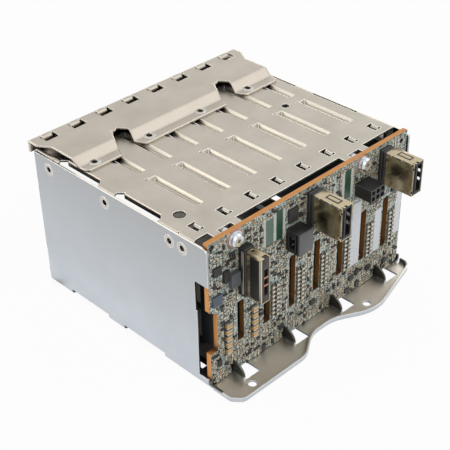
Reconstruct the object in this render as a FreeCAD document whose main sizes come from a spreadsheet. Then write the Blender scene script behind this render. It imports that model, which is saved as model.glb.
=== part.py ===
import FreeCAD, Part
import math
import os
import types

import Sketcher

# Drive cage for eight upright 2.5 inch drives, with its backplane.
# X runs across the bays, +Y to the rear where the backplane stands, +Z up.
# The origin lies on the underside, at mid width.

# Driving sizes, in millimetres unless the note says otherwise
SIZES = [
    ("bay_count", 8, "drive bays side by side"),
    ("bay_pitch", 17.5, "centre to centre of two bays"),
    ("sheet_gauge", 1.0, "thickness of the steel sheet"),
    ("cage_width", 140.5, "over the two side walls"),
    ("cage_front", 61.0, "origin to the front edge of the walls"),
    ("cover_height", 80.3, "underside to the top of the cover"),
    ("wall_height", 79.5, "underside to the top edge of the walls"),
    ("wall_rear", 61.6, "origin to the rear edge of the walls"),
    ("wall_step", 53.0, "origin to the recessed rear edge of the walls"),
    ("wall_step_top", 59.5, "top of the recess in the rear edge"),
    ("wall_foot_top", 5.0, "top of the rear foot of the walls"),
    ("tub_bend", 2.4, "outer radius of the tub's lower bends"),
    ("cover_bend", 1.8, "outer radius of the cover's bends"),
    ("cover_front", 60.4, "origin to the front edge of the cover"),
    ("cover_rear", 52.5, "origin to the rear edge of the cover"),
    ("cover_flange_drop", 11.6, "depth of the cover's riveted flanges"),
    ("front_vent_start", 43.0, "front edge opening, its front end ahead of the origin"),
    ("front_vent_end", 13.0, "front edge opening, its rear end ahead of the origin"),
    ("rear_vent_start", 1.0, "rear edge opening, its front end ahead of the origin"),
    ("rear_vent_end", 29.5, "rear edge opening, its rear end behind the origin"),
    ("vent_depth", 5.2, "edge opening, measured in from the wall's outer face"),
    ("lip_bend", 1.4, "outer radius of the bend down into the cover's edge openings"),
    ("vent_rise", 3.3, "height of the tub's edge openings in the walls"),
    ("guide_shift", 3.6, "guide rib from the middle of its bay"),
    ("guide_width", 4.6, "mouth of a guide rib"),
    ("guide_depth", 2.2, "depth of a guide rib"),
    ("guide_slant", 30.0, "slope of a guide rib's flanks, degrees"),
    ("long_guide_start", 0.5, "front end of the rear guide rib"),
    ("long_guide_end", 33.5, "rear end of the rear guide rib"),
    ("short_guide_start", 42.0, "front guide rib, its front end ahead of the origin"),
    ("short_guide_end", 6.3, "front guide rib, its rear end ahead of the origin"),
    ("curl_width", 0.6, "width of the hooked slit at a rear rib's front end"),
    ("curl_length", 1.6, "reach of the hooked slit beside its rib"),
    ("front_seam", 47.0, "front seam of the cover's bends, ahead of the origin"),
    ("rear_seam", 42.5, "rear seam of the cover's bends, behind the origin"),
    ("seam_width", 0.5, "width of the seams in the cover's bends"),
    ("window_width", 4.5, "width of a stop window"),
    ("window_front", 42.0, "origin to the front of the stop windows"),
    ("window_length", 6.6, "length of a stop window"),
    ("stop_length", 4.4, "length of the stop tab lanced from a window"),
    ("stop_drop", 4.0, "reach of a stop tab into the cage"),
    ("rivet_bore", 1.5, "radius through a hollow rivet"),
    ("rivet_radius", 1.9, "radius of a rivet's shank"),
    ("rivet_head", 3.3, "radius of a rivet's countersunk head"),
    ("rivet_fit", 0.05, "radial gap between rivet and hole"),
    ("rivet_level", 73.3, "height of the cover's side rivets"),
    ("bridge_height", 84.8, "underside to the top of the bridge plate"),
    ("bridge_lip_face", 63.6, "origin to the bridge's front lip"),
    ("bridge_lip_bottom", 78.6, "lowest edge of the bridge's front lip"),
    ("bridge_flat_end", 34.4, "where the bridge's raised flat ends"),
    ("bridge_foot_start", 29.8, "where the bridge's slope meets its foot"),
    ("bridge_foot_end", 24.0, "rear edge of the bridge's foot"),
    ("bridge_half", 71.2, "half width of the bridge's front"),
    ("bridge_waist", 66.9, "half width of the bridge's middle"),
    ("bridge_rivet_line", 28.7, "bridge rivets ahead of the origin"),
    ("latch_width", 8.0, "width of a latch window in the bridge"),
    ("latch_rear", 56.2, "rear edge of the latch windows, ahead of the origin"),
    ("latch_strip", 1.6, "strip of the bridge left ahead of the latch windows"),
    ("tongue_width", 5.8, "width of the curled tongue in a latch window"),
    ("tongue_reach", 3.8, "reach of a tongue from front to rear"),
    ("tongue_dip", 0.9, "drop of a tongue's tip below its root"),
    ("tongue_gauge", 0.6, "thickness of a tongue"),
    ("tongue_side", 0.4, "gap beside a tongue in its window"),
    ("board_gauge", 2.8, "thickness of the backplane board"),
    ("board_face", 60.7, "origin to the board's rear face"),
    ("board_top", 81.4, "top edge of the board"),
    ("board_gap", 0.3, "board's clearance to the walls and the base"),
    ("slot_width", 4.2, "width of an air slot in the board"),
    ("slot_shift", 5.65, "air slot from the middle of its bay"),
    ("slot_bottom", 18.0, "lower end of the air slots"),
    ("slot_top", 48.0, "upper end of the air slots"),
    ("screw_level", 76.9, "height of the board's two screws"),
    ("screw_radius", 1.75, "radius of the screws' thread"),
    ("screw_fit", 0.06, "radial running gap of the screws"),
    ("screw_head", 3.5, "radius of the screws' heads"),
    ("screw_head_rise", 2.2, "height of the screws' heads"),
    ("star_radius", 1.0, "radius of the screws' six-lobed recess, between its lobes"),
    ("star_depth", 1.2, "depth of the screws' recess"),
    ("screw_length", 7.9, "length of the screws under the head"),
    ("washer_radius", 4.1, "radius of the screws' washers"),
    ("washer_gauge", 0.8, "thickness of the washers"),
    ("lug_face", 54.0, "origin to the rear face of the cover's lugs"),
    ("lug_width", 8.4, "width of a lug"),
    ("lug_drop", 8.5, "reach of a lug below the cover's top"),
    ("flange_rear", 79.2, "origin to the rear edge of the base flange"),
    ("flange_waist", 70.0, "origin to the flange's middle recess"),
    ("flange_rim", 3.2, "height of the flange's turned-up rim"),
    ("flange_hole", 2.15, "radius of the flange's fixing holes"),
    ("flange_hole_line", 73.0, "origin to the flange's fixing holes"),
    ("hook_rise", 8.4, "height of the board's hooks"),
    ("hook_end", 68.6, "origin to the rear end of a hook"),
    ("hook_gap", 0.3, "hook's clearance to the board"),
    ("connector_width", 7.4, "width of a drive connector"),
    ("connector_height", 44.0, "length of a drive connector"),
    ("connector_depth", 8.4, "depth of a drive connector"),
    ("connector_bottom", 19.0, "lower end of a drive connector"),
    ("port_width", 7.5, "width of a port's shell"),
    ("port_height", 18.0, "height of a port's shell"),
    ("port_reach", 21.0, "reach of a port from the board"),
    ("port_bottom", 61.2, "lower side of the ports"),
    ("shell_gauge", 0.4, "thickness of the connector shells"),
    ("flange_near_cut", 5.0, "flange's +X corner, cut back from its rear edge"),
    ("flange_near_inset", 4.6, "flange's +X corner, in from the wall"),
    ("flange_near_end", 23.1, "mid width to where the rear edge turns into the recess"),
    ("recess_near", 9.1, "mid width to the recess's +X end"),
    ("recess_far", 7.0, "mid width to the recess's -X end"),
    ("flange_crest", 28.1, "mid width to the crest of the flange's -X lobe"),
    ("flange_crest_rise", 2.1, "that crest, behind the flange's rear edge"),
    ("flange_far_inset", 3.6, "flange's -X corner, in from the wall"),
    ("flange_far_reach", 0.4, "that corner, behind the recess's line"),
    ("flange_far_cut", 3.4, "rear end of the flange's -X side, ahead of the recess's line"),
    ("rim_relief", 1.2, "slit between the flange's rim and the walls"),
    ("rim_relief_side", 0.4, "reach of that slit past the lower bends"),
    ("wall_notch_height", 16.4, "height of the deeper recess in the walls' rear edge"),
    ("wall_notch_depth", 0.8, "how much less deep the recess is below it"),
    ("wall_corner", 3.0, "radius of the walls' rear upper corner"),
    ("lead_reach", 2.2, "reach of the lead-in lips ahead of the walls"),
    ("lead_toe_in", 1.3, "how far the lead-in lips lean inwards"),
    ("lead_root", 0.2, "overlap of the lead-in lips with the walls"),
    ("hook_shift", 2.0, "board hook's +X face from the line of bays"),
    ("hook_window", 9.5, "width of the window that a hook is lanced from"),
    ("hook_window_front", 1.2, "front of that window, ahead of the board"),
    ("hook_window_rear", 0.4, "rear of that window, behind the hook"),
    ("hook_window_round", 1.0, "radius of that window's corners"),
    ("hook_shoulder", 3.4, "hook's seat below its top"),
    ("hook_round", 6.6, "radius of a hook's back"),
    ("hook_arm", 1.6, "thickness of a hook ahead of the board"),
    ("hook_tip", 1.4, "hook's front arm below its top"),
    ("flange_hole_near", 54.4, "mid width to the flange's +X hole"),
    ("flange_hole_far", 29.4, "mid width to the flange's -X hole"),
    ("rivet_sink", 0.8, "depth of a rivet's countersink"),
    ("rivet_tail", 0.9, "rivet beyond the two sheets"),
    ("far_vent_depth", 0.4, "depth of the cover's openings on the -X side"),
    ("cover_tab_gap", 0.5, "gap between the cover's rear tabs and the board"),
    ("cover_tab_width", 4.4, "width of a rear tab beside a lug"),
    ("relief_front", 3.0, "front of a relief slit, ahead of the bridge's foot"),
    ("relief_width", 2.2, "width of a relief slit"),
    ("relief_side", 1.4, "long side of a relief slit, behind the foot's edge"),
    ("relief_rear", 4.4, "end of a relief slit, behind the foot's edge"),
    ("bridge_first_rivet", 3.3, "first bridge rivet from mid width, in bays"),
    ("bridge_slope_shift", 0.4, "shift of the slope's underside that keeps its gauge"),
    ("bridge_lip_round", 0.6, "radius over the bridge's front lip"),
    ("waist_start", 57.0, "front end of the bridge's narrowing, ahead of the origin"),
    ("waist_end", 50.0, "rear end of the bridge's narrowing, ahead of the origin"),
    ("foot_side", 1.2, "outer corner of the feet, in from the waist"),
    ("foot_side_length", 1.6, "that corner, ahead of the foot's rear edge"),
    ("foot_corner", 3.0, "end of the feet's corner, in from the waist"),
    ("notch_near", 35.0, "mid width to the +X keyhole notch"),
    ("notch_far", 35.5, "mid width to the -X keyhole notch"),
    ("notch_eye", 2.0, "half width of a notch's eye"),
    ("notch_eye_fit", 0.1, "what the eye's radius has over its half width"),
    ("notch_eye_line", 42.0, "eye of the notches, ahead of the origin"),
    ("notch_knee", 3.6, "knee of a notch on its -X side, out from the eye"),
    ("notch_knee_line", 37.2, "that knee, ahead of the origin"),
    ("notch_far_throat", 3.2, "notch's -X side where the slope ends"),
    ("notch_far_mouth", 7.0, "notch's -X side at the foot's edge"),
    ("notch_near_mouth", 9.8, "notch's +X side at the foot's edge"),
    ("notch_near_throat", 4.4, "notch's +X side on the slope"),
    ("notch_near_line", 36.4, "that place on the slope, ahead of the origin"),
    ("notch_neck_line", 39.6, "neck of a notch's eye, ahead of the origin"),
    ("standoff_wall", 0.45, "wall of a standoff's riveted shank"),
    ("standoff_radius", 2.7, "radius of the standoffs"),
    ("board_notch_depth", 4.8, "depth of the notch in the board's +X side"),
    ("board_notch_start", 2.0, "lower end of that notch, above the slots' ends"),
    ("board_notch_height", 23.5, "inner upper corner of that notch, above the slots' ends"),
    ("board_notch_end", 26.5, "upper end of that notch, above the slots' ends"),
    ("slot_short", 7.0, "how much shorter the first air slot is"),
    ("slot_round", 0.8, "radius of the slots' corners"),
    ("board_hole_fit", 0.4, "gap round the board's screw holes"),
    ("vent_hole_shift", 5.4, "board's small holes from the line of bays"),
    ("vent_hole_level", 16.4, "height of the board's small holes"),
    ("vent_hole", 0.9, "radius of the board's small holes"),
    ("near_hole_inset", 2.4, "hole in the board's +X corner, in from the side"),
    ("near_hole_drop", 2.6, "that hole, below the top edge"),
    ("near_hole", 1.5, "radius of that hole"),
    ("far_hole_inset", 4.4, "hole in the board's -X corner, from the side and the top"),
    ("far_hole", 1.3, "radius of that hole"),
    ("connector_shift", 1.2, "drive connector from the middle of its bay"),
    ("connector_round", 1.2, "radius of a drive connector's corners"),
    ("connector_floor", 2.0, "floor of a drive connector's groove"),
    ("groove_half", 1.5, "half width of a drive connector's groove"),
    ("groove_end", 5.0, "solid end of a drive connector beside its groove"),
    ("groove_key", 16.0, "key of the groove, below the connector's upper end"),
    ("groove_step", 0.9, "step of the groove at its key"),
    ("lead_in_wall", 1.4, "wall beside a connector's lead-in pocket"),
    ("lead_in_end", 1.2, "wall at the ends of a lead-in pocket"),
    ("lead_in_depth", 3.0, "depth of a lead-in pocket"),
    ("blade_near", 0.3, "blade's +X face from the connector's middle"),
    ("blade_far", 0.9, "blade's -X face from the connector's middle"),
    ("blade_length", 4.6, "length of a blade"),
    ("blade_end", 1.0, "blade's ends inside the groove's"),
    ("screw_crown", 0.8, "chamfer of the screws' heads"),
    ("port_base_depth", 4.2, "depth of a port's base"),
    ("port_base_drop", 1.4, "port's base below its shell"),
    ("port_lip", 1.0, "port's core inside the shell's open end"),
    ("port_mouth_far", 1.2, "wall of the mouth on the -X side"),
    ("port_mouth_near", 3.4, "wall of the mouth on the +X side"),
    ("port_mouth_end", 2.0, "wall at the mouth's ends"),
    ("port_slit_far", 2.2, "key slit's -X side, in from the +X side"),
    ("port_slit_near", 1.3, "key slit's +X side, in from the +X side"),
    ("port_slit_end", 1.6, "wall at the key slit's ends"),
    ("catch_start", 2.2, "catch notch of the shell from the -X side"),
    ("catch_end", 3.8, "far end of the catch notch"),
    ("catch_depth", 1.6, "depth of the catch notch"),
    ("pad_first", 4.4, "first contact pad above the port's lower side"),
    ("pad_step", 5.4, "step between the contact pads"),
    ("pad_lift", 1.4, "pad's lower end above its step"),
    ("pad_height", 3.0, "height of a contact pad"),
    ("pad_gauge", 0.7, "thickness of a contact pad"),
    ("pad_length", 6.0, "length of a contact pad"),
    ("pad_end", 1.6, "pad's end inside the shell's open end"),
    ("slim_right", 45.0, "slim port's -X side"),
    ("slim_left", 50.2, "slim port's +X side"),
    ("slim_low", 46.3, "slim port's lower end"),
    ("slim_high", 71.0, "slim port's upper end"),
    ("slim_reach", 14.1, "reach of the slim port from the board"),
    ("slim_base_depth", 4.4, "depth of its base"),
    ("slim_base_side", 0.3, "base beyond the shell's sides"),
    ("slim_base_low", 1.0, "base below the shell"),
    ("slim_base_high", 0.6, "base above the shell"),
    ("slim_lip", 0.8, "core inside the shell's open end"),
    ("slim_mouth_side", 1.6, "wall beside the slim port's mouth"),
    ("slim_mouth_low", 2.4, "wall below its mouth"),
    ("slim_mouth_high", 3.0, "wall above its mouth"),
    ("slim_mouth_depth", 7.0, "depth of its mouth"),
    ("slim_window_start", 4.6, "its latch windows' front end from the open end"),
    ("slim_window_end", 1.6, "their rear end from the open end"),
    ("slim_window_first", 6.0, "first latch window above the lower end"),
    ("slim_window_step", 9.0, "step between the latch windows"),
    ("slim_window_height", 3.0, "height of a latch window"),
    ("plate_gauge", 0.25, "thickness of the slim port's plate"),
    ("plate_front", 7.2, "plate's front end from the board"),
    ("plate_rear", 12.4, "plate's rear end from the board"),
    ("plate_low", 1.2, "plate's lower end above the shell's"),
    ("plate_high", 1.6, "plate's upper end below the shell's"),
    ("pin_half", 0.4, "half width of a header's pin"),
    ("pin_root", 1.6, "floor of a header's cells"),
    ("pin_end", 1.2, "pin's end inside the header's face"),
    ("ledge_inset", 2.6, "sides and drop of the latch ledge"),
    ("ledge_setback", 1.5, "latch ledge from the header's face"),
    ("ledge_gauge", 1.8, "thickness of the latch ledge"),
    ("ledge_rail", 1.0, "height of the rail behind the ledge"),
    ("stack_half", 1.7, "half width of a large capacitor"),
    ("stack_height", 2.9, "height of a large capacitor"),
    ("stack_rise", 2.0, "large capacitor off the board"),
    ("stack_low", 15.6, "lower end of the large capacitors' columns"),
    ("stack_step", 3.7, "step between the large capacitors"),
    ("chip_side", 1.5, "small capacitor from its column's middle"),
    ("chip_half", 0.9, "half width of a small capacitor"),
    ("chip_height", 1.5, "height of a small capacitor"),
    ("chip_rise", 1.1, "small capacitor off the board"),
    ("chip_low", 18.6, "lower end of the small capacitors' columns"),
    ("chip_step", 2.5, "step between the small capacitors"),
    ("label_gauge", 0.12, "thickness of the labels"),
]

# X, Y and radius of the cover's two plain holes
COVER_HOLES = ((59.7, 33.3, 3.1), (-47.6, -1.7, 2.1))
# Y of the four rivets that hold the cover on each side
RIVET_LINES = (-50.0, -7.3, 37.5, 45.8)
# Lower and upper ends of the lead-in lips ahead of each wall
LEAD_INS = ((4.0, 7.0), (21.0, 58.0), (62.0, 65.0))
# Radii of the rear flange's corners, from the +X side round to the -X side
FLANGE_ROUNDS = (4.0, 5.0, 12.0, 18.0, 24.0, 25.0, 5.0, 5.0)
# Bays whose short rib has a relief slit behind the bridge's foot
RELIEF_BAYS = (1, 3, 4, 5, 7)
# A tongue's bow over its chord, and how its ends are trimmed in shares of its gauge
TONGUE_BOW = 0.515
TONGUE_TIP = 0.2
TONGUE_ROOT = 0.6
# Columns of large and of small capacitors, by X
STACK_COLUMNS = (58.2, 41.0)
CHIP_COLUMNS = (26.6, 9.0, -8.2, -25.6, -43.2, -60.8)
# Bays of the two board screws from mid width, and the bays from one hook to the next
SCREW_BAYS = (3, -2)
HOOK_STEP = 2

doc = FreeCAD.newDocument("drive_cage")
sheet = doc.addObject("Spreadsheet::Sheet", "Sizes")


class Size:
    """A number that keeps the sheet formula it was worked out from."""

    def __init__(self, value, formula):
        self.value = value
        self.formula = formula

    def __add__(self, other):
        other = as_size(other)
        return Size(self.value + other.value, "(%s + %s)" % (self.formula, other.formula))

    def __radd__(self, other):
        return as_size(other) + self

    def __sub__(self, other):
        other = as_size(other)
        return Size(self.value - other.value, "(%s - %s)" % (self.formula, other.formula))

    def __rsub__(self, other):
        return as_size(other) - self

    def __mul__(self, other):
        other = as_size(other)
        return Size(self.value * other.value, "(%s * %s)" % (self.formula, other.formula))

    def __rmul__(self, other):
        return as_size(other) * self

    def __truediv__(self, other):
        other = as_size(other)
        return Size(self.value / other.value, "(%s / %s)" % (self.formula, other.formula))

    def __neg__(self):
        return 0 - self


def as_size(number):
    if isinstance(number, Size):
        return number
    return Size(float(number), "%.6g" % number if number >= 0 else "(%.6g)" % number)


def bind(thing, field, size):
    """Set one property of an object from a size."""
    thing.setExpression(field, as_size(size).formula)


def fill_sheet():
    """Write the driving sizes to the sheet and hand them back by name."""
    sizes = types.SimpleNamespace()
    for row, (name, value, note) in enumerate(SIZES, start=1):
        sheet.set("A%d" % row, note)
        sheet.set("B%d" % row, str(value))
        sheet.setAlias("B%d" % row, name)
        setattr(sizes, name, Size(float(value), "Sizes.%s" % name))
    doc.recompute()
    return sizes


s = fill_sheet()

# Sizes worked out from the driving ones
wall_face = s.cage_width / 2
wall_inside = wall_face - s.sheet_gauge
cover_under = s.cover_height - s.sheet_gauge
first_bay = s.bay_pitch * (s.bay_count - 1) / 2
first_guide = first_bay + s.guide_shift
board_front = s.board_face - s.board_gauge
board_half = wall_inside - s.board_gap
board_bottom = s.sheet_gauge + s.board_gap
screw_hole = s.screw_radius + s.screw_fit
rivet_hole = s.rivet_radius + s.rivet_fit
guide_tangent = Size(math.tan(math.radians(s.guide_slant.value)), "tan(Sizes.guide_slant)")
guide_secant = Size(1 / math.cos(math.radians(s.guide_slant.value)), "(1 / cos(Sizes.guide_slant))")
vent_chamfer = s.vent_depth / 2
tongue_chord = Size(
    math.hypot(s.tongue_reach.value, s.tongue_dip.value),
    "sqrt(Sizes.tongue_reach ^ 2 + Sizes.tongue_dip ^ 2)",
)


def new_body(label):
    body = doc.addObject("PartDesign::Body", label)
    body.Label = label
    return body


def origin_feature(body, role):
    for feature in body.Origin.OriginFeatures:
        if feature.Role == role:
            return feature
    raise ValueError(role)


def new_sketch(body, role, level, name):
    """A sketch on one of the body's own planes, moved along its normal by level."""
    sketch = body.newObject("Sketcher::SketchObject", name)
    sketch.AttachmentSupport = (origin_feature(body, role), "")
    sketch.MapMode = "FlatFace"
    bind(sketch, "AttachmentOffset.Base.z", level)
    return sketch


def plan(body, level, name):
    return new_sketch(body, "XY_Plane", level, name)


def front_view(body, rear, name):
    """Sketch X against Z, standing at Y = rear; its normal points to the front."""
    return new_sketch(body, "XZ_Plane", -as_size(rear), name)


def side_view(body, across, name):
    """Sketch Y against Z, standing at X = across; its normal points to +X."""
    return new_sketch(body, "YZ_Plane", across, name)


def arc_between(start, end, radius, side):
    """Arc from start to end, bulging to the left (side 1) or the right (side -1) of that way."""
    middle = (start + end) / 2
    half = (end - start).Length / 2
    along = (end - start).normalize()
    left = FreeCAD.Vector(-along.y, along.x, 0)
    centre = middle - left * side * math.sqrt(max(radius * radius - half * half, 0))
    first, last = (end, start) if side > 0 else (start, end)
    angles = [math.atan2(p.y - centre.y, p.x - centre.x) for p in (first, last)]
    circle = Part.Circle(centre, FreeCAD.Vector(0, 0, 1), radius)
    return Part.ArcOfCircle(circle, angles[0], angles[1])


def outline(sketch, corners, arcs=None):
    """Close a loop through the corners. arcs gives a side's radius and its bulge by its number."""
    arcs = arcs or {}
    points = []
    for across, up in corners:
        points.append(FreeCAD.Vector(as_size(across).value, as_size(up).value, 0))
    base = sketch.GeometryCount
    total = len(corners)
    geometry = []
    starts = []
    for number in range(total):
        start = points[number]
        end = points[(number + 1) % total]
        if number in arcs:
            radius, side = arcs[number]
            geometry.append(arc_between(start, end, as_size(radius).value, side))
            starts.append((2, 1) if side > 0 else (1, 2))
        else:
            geometry.append(Part.LineSegment(start, end))
            starts.append((1, 2))
    sketch.addGeometry(geometry, False)
    rules = []
    sources = []
    for number in range(total):
        here = base + number
        before = base + (number - 1) % total
        start_end = starts[number][0]
        rules.append(Sketcher.Constraint("Coincident", before, starts[number - 1][1], here, start_end))
        sources.append(None)
        for kind, size in zip(("DistanceX", "DistanceY"), corners[number]):
            value = as_size(size).value
            rules.append(Sketcher.Constraint(kind, -1, 1, here, start_end, value))
            sources.append(size)
        if number in arcs:
            rules.append(Sketcher.Constraint("Radius", here, as_size(arcs[number][0]).value))
            sources.append(arcs[number][0])
    first = sketch.ConstraintCount
    sketch.addConstraint(rules)
    for number, size in enumerate(sources):
        if isinstance(size, Size):
            bind(sketch, "Constraints[%d]" % (first + number), size)


def rectangle(sketch, left, right, low, high):
    outline(sketch, [(left, low), (right, low), (right, high), (left, high)])


def rounded(sketch, left, right, low, high, radius):
    """A rectangle whose four corners are rounded."""
    corners = [
        (left + radius, low),
        (right - radius, low),
        (right, low + radius),
        (right, high - radius),
        (right - radius, high),
        (left + radius, high),
        (left, high - radius),
        (left, low + radius),
    ]
    outline(sketch, corners, {1: (radius, -1), 3: (radius, -1), 5: (radius, -1), 7: (radius, -1)})


def circle(sketch, across, up, radius):
    place = FreeCAD.Vector(as_size(across).value, as_size(up).value, 0)
    number = sketch.addGeometry(Part.Circle(place, FreeCAD.Vector(0, 0, 1), as_size(radius).value))
    rules = [
        Sketcher.Constraint("DistanceX", -1, 1, number, 3, place.x),
        Sketcher.Constraint("DistanceY", -1, 1, number, 3, place.y),
        Sketcher.Constraint("Radius", number, as_size(radius).value),
    ]
    first = sketch.ConstraintCount
    sketch.addConstraint(rules)
    for step, size in enumerate((across, up, radius)):
        if isinstance(size, Size):
            bind(sketch, "Constraints[%d]" % (first + step), size)


def new_feature(body, kind, name):
    """A feature of the body; only a body's last one merges its split faces."""
    feature = body.newObject("PartDesign::%s" % kind, name)
    feature.Refine = False
    return feature


def pad(body, sketch, length, name, backwards=False, slant=None):
    feature = new_feature(body, "Pad", name)
    feature.Profile = sketch
    bind(feature, "Length", length)
    feature.Reversed = backwards
    if slant is not None:
        bind(feature, "TaperAngle", slant)
    return feature


def pocket(body, sketch, length, name, backwards=False, slant=None):
    feature = new_feature(body, "Pocket", name)
    feature.Profile = sketch
    bind(feature, "Length", length)
    feature.Reversed = backwards
    if slant is not None:
        bind(feature, "TaperAngle", slant)
    return feature


def row(body, features, step, count, name, role="X_Axis", backwards=True):
    """Repeat features along an axis, by default towards -X."""
    feature = new_feature(body, "LinearPattern", name)
    feature.Originals = features
    feature.Direction = (origin_feature(body, role), [""])
    feature.Reversed = backwards
    bind(feature, "Length", step * (count - 1))
    bind(feature, "Occurrences", count)
    body.Tip = feature
    return feature


def mirror(body, features, name, role="YZ_Plane"):
    feature = new_feature(body, "Mirrored", name)
    feature.Originals = features
    feature.MirrorPlane = (origin_feature(body, role), [""])
    body.Tip = feature
    return feature


def fillet(body, base, edges, radius, name):
    feature = new_feature(body, "Fillet", name)
    feature.Base = (base, edges)
    bind(feature, "Radius", radius)
    return feature


def upright_edges_near(shape, places):
    """Names of the upright edges that stand at the given X, Y places."""
    names = []
    for number, edge in enumerate(shape.Edges, start=1):
        low = edge.Vertexes[0].Point
        high = edge.Vertexes[-1].Point
        if math.hypot(low.x - high.x, low.y - high.y) > 0.001 or abs(low.z - high.z) < 0.001:
            continue
        for x, y in places:
            if math.hypot(low.x - as_size(x).value, low.y - as_size(y).value) < 0.01:
                names.append("Edge%d" % number)
    return names


# Part primitives for small pieces


def place_at(thing, x, y, z):
    bind(thing, "Placement.Base.x", x)
    bind(thing, "Placement.Base.y", y)
    bind(thing, "Placement.Base.z", z)


def block(name, left, right, front, rear, low, high):
    thing = doc.addObject("Part::Box", name)
    bind(thing, "Length", as_size(right) - left)
    bind(thing, "Width", as_size(rear) - front)
    bind(thing, "Height", as_size(high) - low)
    place_at(thing, left, front, low)
    return thing


AXIS_TURNS = {
    "X": FreeCAD.Rotation(FreeCAD.Vector(0, 1, 0), 90),
    "Y": FreeCAD.Rotation(FreeCAD.Vector(1, 0, 0), -90),
    "Z": FreeCAD.Rotation(),
}


def rod(name, x, y, z, along, radius, length):
    thing = doc.addObject("Part::Cylinder", name)
    thing.Placement = FreeCAD.Placement(FreeCAD.Vector(), AXIS_TURNS[along])
    bind(thing, "Radius", radius)
    bind(thing, "Height", length)
    place_at(thing, x, y, z)
    return thing


def taper(name, x, y, z, along, first_radius, last_radius, length):
    thing = doc.addObject("Part::Cone", name)
    thing.Placement = FreeCAD.Placement(FreeCAD.Vector(), AXIS_TURNS[along])
    bind(thing, "Radius1", first_radius)
    bind(thing, "Radius2", last_radius)
    bind(thing, "Height", length)
    place_at(thing, x, y, z)
    return thing


def joined(name, things):
    whole = doc.addObject("Part::MultiFuse", name)
    whole.Shapes = things
    whole.Label = name
    return whole


def without(name, base, tools):
    """The base with every tool cut away."""
    for number, tool in enumerate(tools, start=1):
        last = number == len(tools)
        cut = doc.addObject("Part::Cut", name if last else "%s_step_%d" % (name, number))
        cut.Base = base
        cut.Tool = tool
        base = cut
    base.Label = name
    return base


def together(name, things):
    """Separate solids that share one node."""
    whole = doc.addObject("Part::Compound", name)
    whole.Links = things
    whole.Label = name
    return whole


# Guide ribs and stop windows, pressed into both the cover and the base


def guide_ribs(body, face, inwards):
    """Two ribs per bay, pressed from the outer face; inwards is -1 in the cover and 1 in the base."""
    upwards = inwards > 0
    under = face + inwards * s.sheet_gauge
    flank = s.sheet_gauge * (guide_secant - guide_tangent)
    solids = plan(body, under, "rib_outside")
    hollows = plan(body, face, "rib_hollow")
    spans = (
        (-s.short_guide_start, -s.short_guide_end),
        (s.long_guide_start, s.long_guide_end),
    )
    x = first_guide - s.bay_pitch
    half = s.guide_width / 2
    wide = half + flank
    for front, rear in spans:
        rectangle(hollows, x - half, x + half, front, rear)
        rectangle(solids, x - wide, x + wide, front - flank, rear + flank)
    raised = pad(body, solids, s.guide_depth, "rib_raised", not upwards, -s.guide_slant)
    pressed = pocket(body, hollows, s.guide_depth, "rib_pressed", upwards, -s.guide_slant)
    return row(body, [raised, pressed], s.bay_pitch, s.bay_count - 1, "rib_row")


def stop_windows(body, face, inwards):
    """A window in every bay, with a stop tab turned in from its -X edge."""
    hole = plan(body, face, "window")
    left = first_bay - s.window_width / 2
    right = left + s.window_width
    rear = s.window_front + s.window_length
    rectangle(hole, left, right, s.window_front, rear)
    opened = pocket(body, hole, s.sheet_gauge, "window_cut", inwards > 0)
    middle = s.window_front + s.window_length / 2
    tab = plan(body, face, "stop")
    rectangle(tab, left, left + s.sheet_gauge, middle - s.stop_length / 2, middle + s.stop_length / 2)
    turned = pad(body, tab, s.stop_drop, "stop_tab", inwards < 0)
    return row(body, [opened, turned], s.bay_pitch, s.bay_count, "window_row")


def edge_guides(body, face, inwards):
    """Lips turned in along the edge openings, which guide the outermost bay."""
    lip = plan(body, face, "edge_lip")
    inner = wall_face - s.vent_depth
    for front, rear in vent_spans():
        rectangle(lip, inner - s.sheet_gauge, inner, front + vent_chamfer, rear - vent_chamfer)
    depth = s.guide_depth + s.sheet_gauge
    return pad(body, lip, depth, "edge_lips", inwards < 0)


def vent_spans():
    return (
        (-s.front_vent_start, -s.front_vent_end),
        (-s.rear_vent_start, s.rear_vent_end),
    )


# Tub: base, side walls and rear flange bent from one sheet


def flange_corners():
    """Corners of the rear flange as X and Y, from the +X side round to the -X side."""
    return [
        (wall_face, s.flange_rear - s.flange_near_cut),
        (wall_face - s.flange_near_inset, s.flange_rear),
        (s.flange_near_end, s.flange_rear),
        (s.recess_near, s.flange_waist),
        (-s.recess_far, s.flange_waist),
        (-s.flange_crest, s.flange_rear + s.flange_crest_rise),
        (-wall_face + s.flange_far_inset, s.flange_waist + s.flange_far_reach),
        (-wall_face, s.flange_waist - s.flange_far_cut),
    ]


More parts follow.
